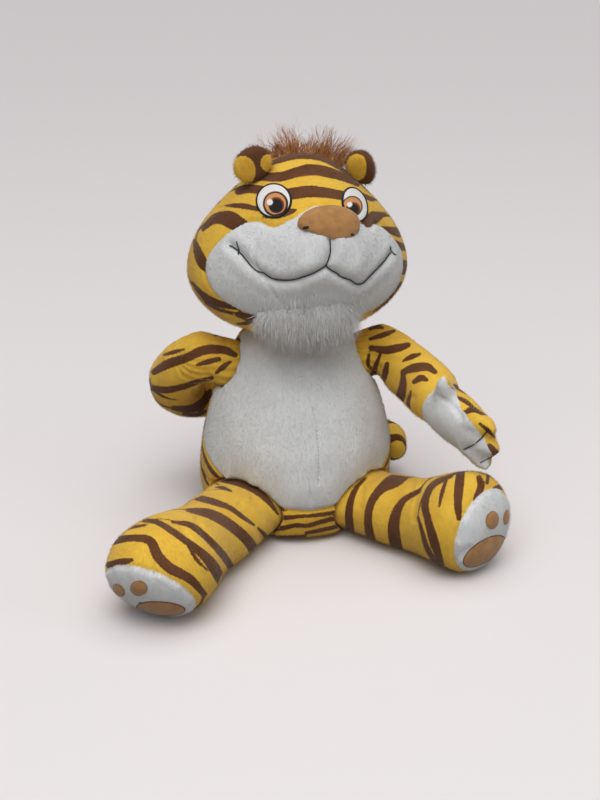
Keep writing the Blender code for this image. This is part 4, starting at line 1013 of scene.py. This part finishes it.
body, _ = panel_skin("body_plush", ("body_cover", "body_stuffing"), ("belly_panel",),
                     ("head_cover", "arm_left_sleeve", "arm_right_sleeve", "leg_left_cover",
                      "leg_right_cover",
                      "tail_cover"), 3.0, "body")
skin = skin_tree(body)
dart = laid(skin, body_aim, ((4, 112), (5, 95), (5, 75), (4, 56)))
points = points_of(body)
turned = np.degrees(np.abs(np.arctan2(points[:, 0], -points[:, 1])))
belly_gap = -np.minimum(4 - points[:, 1], points[:, 2] - np.interp(turned, *np.array(BELLY_EDGE, float).T))
push_out(body, -1.0 * faded(away_from(points, dart), 1.6) - 1.2 * faded(belly_gap, 1.6))
stripes = list(BODY_STRIPES) + back_bands(BODY_BACK_HEIGHTS, 93, 4, 158, 3.6)
points = points_of(body)
write_marks(body, stripe=np.minimum(gap_to_lines(points, skin, body_aim, stripes), seen_gap(body, BODY_SEEN)),
            white=belly_gap, cover=(points[:, 2] > 1.5) * (points[:, 2] < 161) * 1.0)
body.data.materials.append(plush)
wear_pile(body, plush, "body", "yellow_plush", nap=(0, 0, -0.9), density=560000, seed=31)
white_thread = thread_finish("white_thread", (0.55, 0.56, 0.54, 1))
skin = skin_tree(body)
dart_stitches = sewn_lines("dart_stitches", [on_skin(skin, dart, 0.25)], 1.8, 1.4, 0.5, white_thread)
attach(dart_stitches, "body")

# Arms: bent stuffed tubes, striped across, drawn in by a gathered seam at the shoulder. Each ends in a mitt
# whose palm is white, and the left mitt's fingers are marked by black thread.

ARM_SPINES = {
    "arm_left": ((55.6, 0, 135.1), (70.8, 0, 142.8), (86.1, -15.5, 129.3), (96.5, -37.9, 122.8),
                 (101.5, -58.6, 118.2),
                 (112, -100, 106), (124, -136, 90)),
    "arm_right": ((-55.6, 0, 135.1), (-70.8, 0, 142.8), (-84, 12.9, 133.1), (-96.8, 31, 113.5),
                  (-90.4, 52.5, 94.6),
                  (-70.4, 70.5, 85.1), (-51.2, 79.1, 82.4), (-20, 81, 82), (18, 83, 82)),
}
ARM_SEEN = {
    "arm_left": (
        ((370, 329, 1.7), (376, 326, 3.1), (383, 328, 1.4)), ((370, 339, 1.7), (383, 335, 2.8),
                                                              (394, 331, 1.7)),
        ((371, 348, 2.8), (386, 350, 4.1), (398, 348, 4.1), (408, 345, 2.8)),
        ((403, 361, 1.0), (411, 357, 2.8), (420, 354, 1.4)),
        ((403, 372, 2.8), (414, 368, 4.5), (427, 367, 4.1), (435, 372, 2.4)),
        ((414, 382, 2.4), (421, 378, 3.4), (427, 380, 1.7)), ((373, 376, 3.1), (376, 365, 2.4),
                                                              (380, 355, 1.7)),
        ((382, 385, 1.4), (385, 374, 3.1), (387, 364, 2.4)),
        ((403, 372, 2.1), (403, 385, 3.8), (400, 398, 4.8), (397, 408, 2.4)),
        ((411, 391, 1.0), (408, 404, 2.1), (410, 414, 1.4)), ((450, 384, 1.4), (459, 388, 2.1),
                                                              (468, 394, 1.0)),
        ((458, 396, 1.4), (467, 402, 2.4), (476, 411, 1.0)), ((464, 412, 2.1), (472, 409, 2.8),
                                                              (480, 413, 1.4)),
        ((476, 422, 1.4), (482, 428, 2.1), (487, 434, 1.0)), ((481, 443, 3.1), (486, 451, 4.1),
                                                              (488, 458, 2.4)),
        ((369, 354, 1.4), (368, 364, 2.1), (371, 369, 1.0)),
    ),
    "arm_right": (
        ((154, 372, 3.1), (168, 364, 4.8), (186, 358, 4.5), (205, 350, 4.8), (224, 350, 4.2),
         (235, 355, 2.8)),
        ((164, 355, 1.4), (174, 352, 2.1), (185, 349, 1.0)), ((197, 365, 1.4), (207, 362, 2.8),
                                                              (219, 359, 2.4)),
        ((216, 373, 1.6), (223, 367, 2.8), (230, 362, 1.8)),
        ((150, 387, 2.8), (165, 390, 3.5), (182, 387, 3.1), (197, 382, 2.8), (212, 378, 2.1)),
        ((173, 408, 2.4), (190, 409, 4.2), (202, 403, 4.5), (210, 392, 3.1)),
        ((183, 414, 1.4), (197, 415, 2.1), (206, 411, 1.7)), ((215, 335, 1.4), (227, 333, 2.1),
                                                              (239, 335, 1.4)),
    ),
}
# Bands on the sides that the picture doesn't show, in groups: millimetres along the limb, then the angles
# that they run between, in degrees round the limb from its top
ARM_HIDDEN = {"arm_left": (((22, 39, 55, 72, 90, 108), -50, -175),),
              "arm_right": (((106, 126, 146), 185, 70),
                            ((68, 84, 100, 116, 133, 150, 168, 187), -5, -165))}
ARM_CREASES = {
    "arm_left": (((457, 446, 0.5), (468, 441, 0.5), (479, 431, 0.5)), ((471, 458, 0.5), (487, 448, 0.5)),
                 ((392, 392, 1), (402, 398, 1), (413, 397, 1)), ((400, 352, 1), (410, 349, 1)),
                 ((440, 395, 1), (452, 404, 1), (459, 416, 1))),
    "arm_right": (((205, 372, 1), (214, 380, 1), (217, 392, 1)), ((226, 338, 1), (222, 350, 1)),
                  ((195, 392, 1), (205, 398, 1))),
}
# The white palm's outline on the left mitt in the picture: the striped back is sewn to it down the palm's
# middle
MITT_EDGE = ((440, 366), (452, 372), (458, 390), (460, 408), (468, 422), (476, 435), (481, 449), (478, 475),
             (400, 475), (400, 380))
SHOULDER_PLEATS = 17
ARM_PALMS = {"arm_left": (-0.86, -0.50, 0.02), "arm_right": (0, -1, 0)}


def spine_aim(spine):
    """Aims at a bent limb's skin from its middle line: millimetres along it and degrees round it from the top."""
    spine = np.array(spine)
    steps = np.concatenate(([0], np.cumsum(np.linalg.norm(np.diff(spine, axis=0), axis=1))))

    def aim(along, around):
        start = Vector([np.interp(along, steps, spine[:, k]) for k in range(3)])
        nearby = np.clip((along - 5, along + 5), 0, steps[-1])
        ends = [Vector([np.interp(spot, steps, spine[:, k]) for k in range(3)]) for spot in nearby]
        way = (ends[1] - ends[0]).normalized()
        side = way.cross(Vector((0, 0, 1))).normalized()
        a = math.radians(around)
        return start * MM, side * math.sin(a) + side.cross(way) * math.cos(a)

    return aim


def hidden_bands(places, first, last):
    """Bands round a limb that waver a little, and swell and taper on the way."""
    turns = np.linspace(first, last, 5)
    return [[(along + 3 * math.sin(1.1 * k + 0.9 * n), turn, half)
             for k, (turn, half) in enumerate(zip(turns, (0.6, 2.2, 2.9, 2.3, 0.6)))] for n,
             along in enumerate(places)]


def carried_on(tree, spine, strokes):
    """Stripes that the picture shows up to a limb's outline go on round it and taper off."""
    spine = np.array(spine)
    aim = spine_aim(spine)
    rows = []
    for line in strokes:
        for (x, y, half), (next_x, next_y, _) in ((line[0], line[1]), (line[-1], line[-2])):
            for share in (0, 0.15, 0.3, 0.5):
                way = seen_at(x + (next_x - x) * share, y + (next_y - y) * share)
                hit, normal, _, _ = tree.ray_cast(LENS * MM, way)
                if hit:
                    break
            if not hit or normal.dot(VIEW) > 0.45:
                continue
            place = np.array(hit) / MM
            best = (math.inf, 0, None, None)
            reach = 0
            for a, b in zip(spine, spine[1:]):
                length = np.linalg.norm(b - a)
                share = min(1, max(0, (place - a) @ (b - a) / length ** 2))
                gap = np.linalg.norm(place - a - (b - a) * share)
                if gap < best[0]:
                    best = (gap, reach + share * length, Vector(b - a).normalized(), a + (b - a) * share)
                reach += length
            _, along, way, foot = best
            side = way.cross(Vector((0, 0, 1))).normalized()
            off = Vector(place - foot)
            around = math.degrees(math.atan2(off.dot(side), off.dot(side.cross(way))))
            turns = [tree.ray_cast(*aim(along, around + turn))[1] for turn in (-14, 14)]
            turn = -1 if turns[0] and turns[1] and turns[0].dot(VIEW) < turns[1].dot(VIEW) else 1
            rows.append([(along + step * 0.04, around + turn * step, half * PER_PIXEL * share)
                         for step, share in ((0, 1.0), (18, 1.0), (38, 0.85), (58, 0.6), (78, 0.2))])
    return rows


def rim_of(tree, points, gap, axis, middle, bins=90):
    """The seam where a gap is zero, as an ordered ring of places round an axis."""
    axis = Vector(axis).normalized()
    side = axis.orthogonal().normalized()
    up = axis.cross(side)
    off = points - np.array(middle)
    angles = np.degrees(np.arctan2(off @ np.array(up), off @ np.array(side))) % 360
    ring = []
    near = np.abs(gap) < 1.6
    for k in range(bins):
        here = near & (np.abs((angles - k * 360 / bins + 180) % 360 - 180) < 360 / bins)
        if here.any():
            weight = 1 / (0.2 + np.abs(gap[here]))
            ring.append((points[here] * weight[:, None]).sum(0) / weight.sum())
    ring = np.array(ring + ring[:1])
    even = (ring[:-2] + ring[1:-1] + ring[2:]) / 3
    return laid_near(tree, np.vstack((even, even[:1])))


def laid_near(tree, row):
    return np.array([(*(tree.find_nearest(Vector(place) * MM)[0] / MM), 0) for place in row], np.float32)


for arm_name, spine in ARM_SPINES.items():
    palm = arm_name + "_hand_palm"
    others = ("body_cover", "head_cover", arm_name.replace("arm", "leg") + "_cover", "tail_cover")
    arm, palm_gap = panel_skin(arm_name + "_plush", (arm_name + "_sleeve", arm_name + "_stuffing",
                                                     arm_name + "_hand_back"), (palm,), others, 2.0, arm_name)
    points = points_of(arm)
    spread = points - np.array(spine[1])
    reach = np.linalg.norm(spread, axis=1)
    pleat = np.sin(np.arctan2(spread[:, 2], spread[:, 1]) * SHOULDER_PLEATS) * faded(reach - 24, 8)
    push_out(arm, 0.75 * pleat * np.clip(gap_to(points, ("body_cover",)) / 6, 0, 1))
    push_out(arm, -1.2 * faded(np.maximum(seen_gap(arm, ARM_CREASES[arm_name]), 0), 1.6))
    points = points_of(arm)
    skin = skin_tree(arm)
    if arm_name == "arm_left":
        picture = inside(MITT_EDGE, *seen_from(points))
        facing = outward_of(arm) @ np.array(VIEW) > 0.05
        palm_gap = np.where(facing & (palm_gap < 0) & ~picture, 2.0, palm_gap)
    bands = [band for group in ARM_HIDDEN[arm_name] for band in hidden_bands(*group)]
    bands += carried_on(skin, spine, ARM_SEEN[arm_name])
    write_marks(arm, stripe=np.minimum(gap_to_lines(points, skin, spine_aim(spine), bands),
                                       seen_gap(arm, ARM_SEEN[arm_name])), white=palm_gap,
                                       cover=np.ones(len(points)))
    arm.data.materials.append(plush)
    way = (Vector(spine[-1]) - Vector(spine[2])).normalized()
    wear_pile(arm, plush, arm_name, "yellow_plush", nap=tuple(way * 0.7 + Vector((0, 0, -0.4))),
              density=520000, seed=41)
    ring = rim_of(skin, points, palm_gap, ARM_PALMS[arm_name], points[np.abs(palm_gap) < 1].mean(0))
    seam_stitches = sewn_lines(arm_name + "_palm_stitches", [on_skin(skin, ring, 0.1)], 1.5, 1.6, 0.45,
                               white_thread)
    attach(seam_stitches, arm_name)

# Finger lines of the left mitt: black thread sewn through the fingertips, which divides them.

FINGER_LINES = (((457, 446), (462, 444), (468, 441), (474, 436), (479, 431), (483, 427)),
                ((471, 458), (477, 455), (483, 452), (487, 448)))
left_skin = skin_tree(bpy.data.objects["arm_left_plush"])
finger_rows = []
for line in FINGER_LINES:
    row = []
    for place in flowing(line, 5):
        hit = left_skin.ray_cast(LENS * MM, seen_at(*place))[0]
        if hit:
            row.append((*(hit / MM), 0))
    if len(row) > 2:
        finger_rows.append(on_skin(left_skin, np.array(row), 0.5))
finger_stitches = sewn_lines("finger_stitches", finger_rows, 2.2, -0.4, 0.9, black_thread)
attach(finger_stitches, "arm_left")
# The mitt is pulled to its pose: its fingertips reach outwards and down, and its thumb leans over the sleeve
thumb_tip = np.array(left_skin.ray_cast(LENS * MM, seen_at(451, 377))[0]) / MM
for piece_name in ("arm_left_plush", "arm_left_pile", "arm_left_palm_stitches", "finger_stitches"):
    piece = bpy.data.objects[piece_name]
    points = points_of(piece)
    x, y = seen_from(points)
    reach = np.clip(((x - 448) * 0.36 + (y - 408) * 0.93) / 48, 0, 1) ** 1.3
    lean = np.exp(-(np.linalg.norm(points - thumb_tip, axis=1) / 13) ** 2)
    right, down = (10 * reach - 8 * lean) * PER_PIXEL, (4 * reach + 5 * lean) * PER_PIXEL
    move_points(piece, points + np.outer(right, VIEW_RIGHT) - np.outer(down, VIEW_UP))

# Legs: stuffed tubes that lie on the table, striped across, each with a white sole panel sewn round its end.
# Tan suede pads, two for toes and one for the heel, are sewn on the soles.

LEG_SPINES = {
    "leg_left": ((50.3, -47.7, 25), (71.2, -75.5, 26.5), (88, -97.7, 29.5), (106.1, -121.8, 38),
                 (116.4, -135.7, 38),
                 (127, -149, 36)),
    "leg_right": ((-52, -46, 25), (-76.8, -85.7, 26.5), (-96.6, -117.4, 29.5), (-118.1, -151.8, 36.5),
                  (-130.5, -171.7, 33), (-139, -184, 26)),
}
LEG_SEEN = {
    "leg_left": (
        ((366, 478, 1.0), (357, 487, 2.4), (351, 500, 3.4), (349, 516, 4.1), (351, 534, 4.1),
         (356, 551, 2.4)),
        ((406, 478, 2.1), (394, 481, 6.9), (381, 489, 4.8), (371, 503, 4.1), (368, 520, 4.1), (371, 538, 4.5),
         (379, 556, 2.8)),
        ((419, 491, 2.4), (403, 501, 3.4), (395, 517, 5.2), (394, 534, 6.2), (399, 553, 5.5),
         (411, 568, 3.1)),
        ((451, 475, 2.8), (432, 486, 3.4), (425, 503, 3.8), (428, 520, 3.8), (433, 538, 4.8), (437, 551, 4.1),
         (442, 566, 2.8)),
        ((447, 478, 1.4), (442, 493, 2.1), (439, 507, 1.0)), ((461, 471, 4.1), (459, 486, 4.8),
                                                              (458, 503, 4.1), (459, 518, 2.8)),
        ((479, 478, 2.8), (481, 486, 3.8), (476, 499, 3.1)), ((495, 488, 2.1), (503, 487, 3.1),
                                                              (511, 491, 3.1)),
        ((418, 517, 1.4), (422, 531, 2.1), (427, 548, 2.8), (437, 565, 2.4)),
        ((488, 475, 1.7), (487, 483, 1.7)),
    ),
    "leg_right": (
        ((106, 544, 3.5), (118, 540, 3.8), (134, 538, 3.5), (150, 541, 4.6), (158, 556, 5.4), (170, 568, 5.4),
         (190, 579, 4.6), (204, 594, 3.1)),
        ((114, 527, 1.5), (126, 528, 1.9), (146, 525, 1.2)), ((109, 565, 3.5), (122, 562, 3.8),
                                                              (132, 560, 1.9)),
        ((136, 520, 1.5), (156, 522, 2.7), (172, 531, 3.5), (186, 541, 3.5), (198, 550, 4.2), (210, 562, 5.4),
         (218, 575, 5.4), (224, 589, 3.5)),
        ((172, 522, 1.2), (190, 525, 3.1), (206, 537, 3.5), (222, 554, 3.8), (234, 572, 3.5),
         (240, 581, 2.7)),
        ((188, 510, 2.3), (210, 514, 5.0), (230, 525, 5.4), (248, 541, 5.4), (255, 556, 5.0),
         (252, 570, 3.8)),
        ((195, 497, 3.1), (214, 502, 3.5), (230, 508, 2.7), (244, 518, 2.3), (254, 525, 1.2)),
        ((206, 485, 1.2), (218, 486, 2.3), (231, 491, 1.2)), ((186, 542, 1.2), (196, 559, 1.9),
                                                              (207, 570, 0.8)),
        ((258, 528, 1.2), (267, 538, 2.4), (271, 550, 1.2)),
        ((221, 481, 1.4), (238, 483, 3.4), (255, 490, 3.8), (268, 501, 3.0), (278, 514, 1.2)),
    ),
}
LEG_HIDDEN = {"leg_left": ((20, 42, 63, 84, 104), -62, -170), "leg_right": ((18, 44, 68, 94, 118, 140), 78,
                                                                            175)}
LEG_CREASES = {
    "leg_left": (((345, 500, 1), (343, 518, 2), (349, 542, 1)), ((362, 486, 1), (360, 506, 1)),
                 ((413, 480, 1), (409, 500, 1)),
                 ((423, 478, 1), (416, 497, 1), (414, 520, 1)), ((470, 548, 1), (455, 560, 1))),
    "leg_right": (((197, 519, 1), (204, 532, 1), (213, 547, 1)),
                  ((240, 504, 1), (252, 518, 2), (262, 538, 1)),
                  ((253, 498, 1), (267, 514, 2), (276, 530, 1)), ((182, 528, 1), (190, 538, 1)),
                  ((150, 556, 1), (152, 572, 1))),
}
SOLE_WAYS = {"leg_left": (0.6018, -0.7986, -0.087), "leg_right": (-0.4287, -0.6860, -0.588)}
SOLE_PADS = {
    "leg_left": {"toe_inner_pad": (492, 520, 6, 8.5, -10), "toe_outer_pad": (506, 517, 2.4, 7, -8),
                 "heel_pad": (484, 551, 24, 10, 34)},
    "leg_right": {"toe_inner_pad": (139, 588, 8, 7, 0), "toe_outer_pad": (119, 590, 6.5, 4.5, -50),
                  "heel_pad": (161, 608, 24, 6.5, -4)},
}
tan_thread = thread_finish("tan_thread", (0.40, 0.20, 0.075, 1))
heel_thread = thread_finish("heel_thread", (0.22, 0.09, 0.035, 1))

for leg_name, spine in LEG_SPINES.items():
    side = leg_name[4:]
    sole = "sole_" + side
    leg, sole_gap = panel_skin(leg_name + "_plush", (leg_name + "_cover", leg_name + "_stuffing"), (sole,),
                               ("body_cover", "belly_panel", "arm_left_sleeve", "arm_right_sleeve"), 2.5,
                               leg_name,
                               2.0)
    push_out(leg, -1.3 * faded(np.maximum(seen_gap(leg, LEG_CREASES[leg_name]), 0), 1.8))
    skin = skin_tree(leg)
    points = points_of(leg)
    bands = hidden_bands(*LEG_HIDDEN[leg_name]) + carried_on(skin, spine, LEG_SEEN[leg_name])
    write_marks(leg, stripe=np.minimum(gap_to_lines(points, skin, spine_aim(spine), bands),
                                       seen_gap(leg, LEG_SEEN[leg_name])), white=sole_gap,
                cover=(points[:, 2] > 0.8) * 1.0)
    leg.data.materials.append(plush)
    way = (Vector(spine[-1]) - Vector(spine[0])).normalized()
    wear_pile(leg, plush, leg_name, "yellow_plush", nap=tuple(way * 0.5 + Vector((0, 0, -0.6))),
              density=520000, seed=51)
    box_low, box_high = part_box(sole)
    middle = (Vector(box_low) + Vector(box_high)) / 2 / MM
    ring = rim_of(skin, points, sole_gap, SOLE_WAYS[leg_name], middle)
    sole_stitches = sewn_lines(sole + "_stitches", [on_skin(skin, ring, 0.15)], 1.7, 1.9, 0.55, white_thread)
    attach(sole_stitches, leg_name)
    for pad, (x, y, half_wide, half_high, tilt) in SOLE_PADS[leg_name].items():
        node = pad + "_" + side
        patch, rim = sewn_patch(node + "_patch", skin, (x, y), half_wide, half_high, tilt, tan_suede, 1.2)
        edge = satin_rim(node + "_edge", rim, 0.9, heel_thread if pad == "heel_pad" else tan_thread, 0.6)
        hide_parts(node)
        for piece in (patch, edge):
            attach(piece, leg_name)

# Tail: a thin stuffed tube with brown rings, sewn to the body's back and bent round to the tiger's left.

TAIL_SPINE = ((8, 60.2, 33.4), (12.4, 87.5, 33.4), (35.2, 94.5, 33.4), (68.3, 90.1, 33.4), (90, 70, 33.4),
              (96.3, 49, 33.4), (95.2, 33.3, 33.4))
tail, _ = panel_skin("tail_plush", ("tail_cover", "tail_stuffing"), (), ("body_cover", "leg_left_cover"), 1.2,
                            "tail", 0.0)
skin = skin_tree(tail)
points = points_of(tail)
rings = [[(along + 2 * math.sin(math.radians(turn) + k), turn, 4.2) for turn in range(-180, 181, 30)]
         for k, along in enumerate(range(16, 165, 22))]
write_marks(tail, stripe=gap_to_lines(points, skin, spine_aim(TAIL_SPINE), rings),
            white=np.full(len(points), NO_MARK), cover=np.ones(len(points)))
tail.data.materials.append(plush)
wear_pile(tail, plush, "tail", "yellow_plush", nap=(0.2, 0, -0.6), density=480000, seed=61)

# Stage: a plain pale floor under a pale room, soft daylight from above and the front, and the camera.

floor_mesh = bpy.data.meshes.new("floor")
floor_mesh.from_pydata([(-9, -9, -0.0006), (9, -9, -0.0006), (9, 9, -0.0006), (-9, 9, -0.0006)], [],
                       [(0, 1, 2, 3)])
floor = new_piece("floor", floor_mesh)
floor_finish, floor_tree, floor_shader, _ = new_finish("floor_finish", 0.75, 0.25)
looked_at = add_node(floor_tree, "ShaderNodeLightPath").outputs["Is Camera Ray"]
floor_colour = blended(floor_tree, looked_at, (0.36, 0.345, 0.35, 1), (0.80, 0.765, 0.77, 1))
floor_tree.links.new(floor_colour, floor_shader.inputs["Base Color"])
floor_mesh.materials.append(floor_finish)


def soft_light(name, place, size, power, tint):
    data = bpy.data.lights.new(name, "AREA")
    data.shape = "DISK"
    data.size = size
    data.energy = power
    data.color = tint
    light = new_piece(name, data)
    light.location = place
    light.rotation_euler = (Vector((0, 0, 0.15)) - Vector(place)).to_track_quat("-Z", "Y").to_euler()


soft_light("key", (-0.4, -1.2, 2.1), 1.6, 15, (1, 0.985, 0.96))
soft_light("fill", (1.6, -1.2, 1.1), 1.6, 4, (0.97, 0.985, 1))
for name, way, strength in (("sky", (0.05, -0.1, 1), 1.3), ("window", (-0.3, -1, 1.1), 0.8)):
    data = bpy.data.lights.new(name, "SUN")
    data.energy = strength
    data.angle = math.radians(65)
    new_piece(name, data).rotation_euler = Vector(way).to_track_quat("Z", "Y").to_euler()
world = bpy.data.worlds.new("room")
world.use_nodes = True
room = world.node_tree.nodes["Background"]
room.inputs["Color"].default_value = (0.93, 0.89, 0.90, 1)
looked_at = add_node(world.node_tree, "ShaderNodeLightPath").outputs["Is Camera Ray"]
world.node_tree.links.new(eased(world.node_tree, looked_at, 0, 1, 0.19, 0.65), room.inputs["Strength"])
bpy.context.scene.world = world

cam = bpy.data.objects.new("camera", bpy.data.cameras.new("camera"))
bpy.context.scene.collection.objects.link(cam)
bpy.context.scene.camera = cam
cam.data.sensor_width = 36
cam.data.lens = cam.data.sensor_width * FOCAL / PICTURE_HIGH
cam.data.clip_start = 0.05
cam.location = LENS * MM
cam.rotation_euler = (-VIEW).to_track_quat("-Z", "Y").to_euler()
bpy.context.scene.view_settings.view_transform = "Standard"
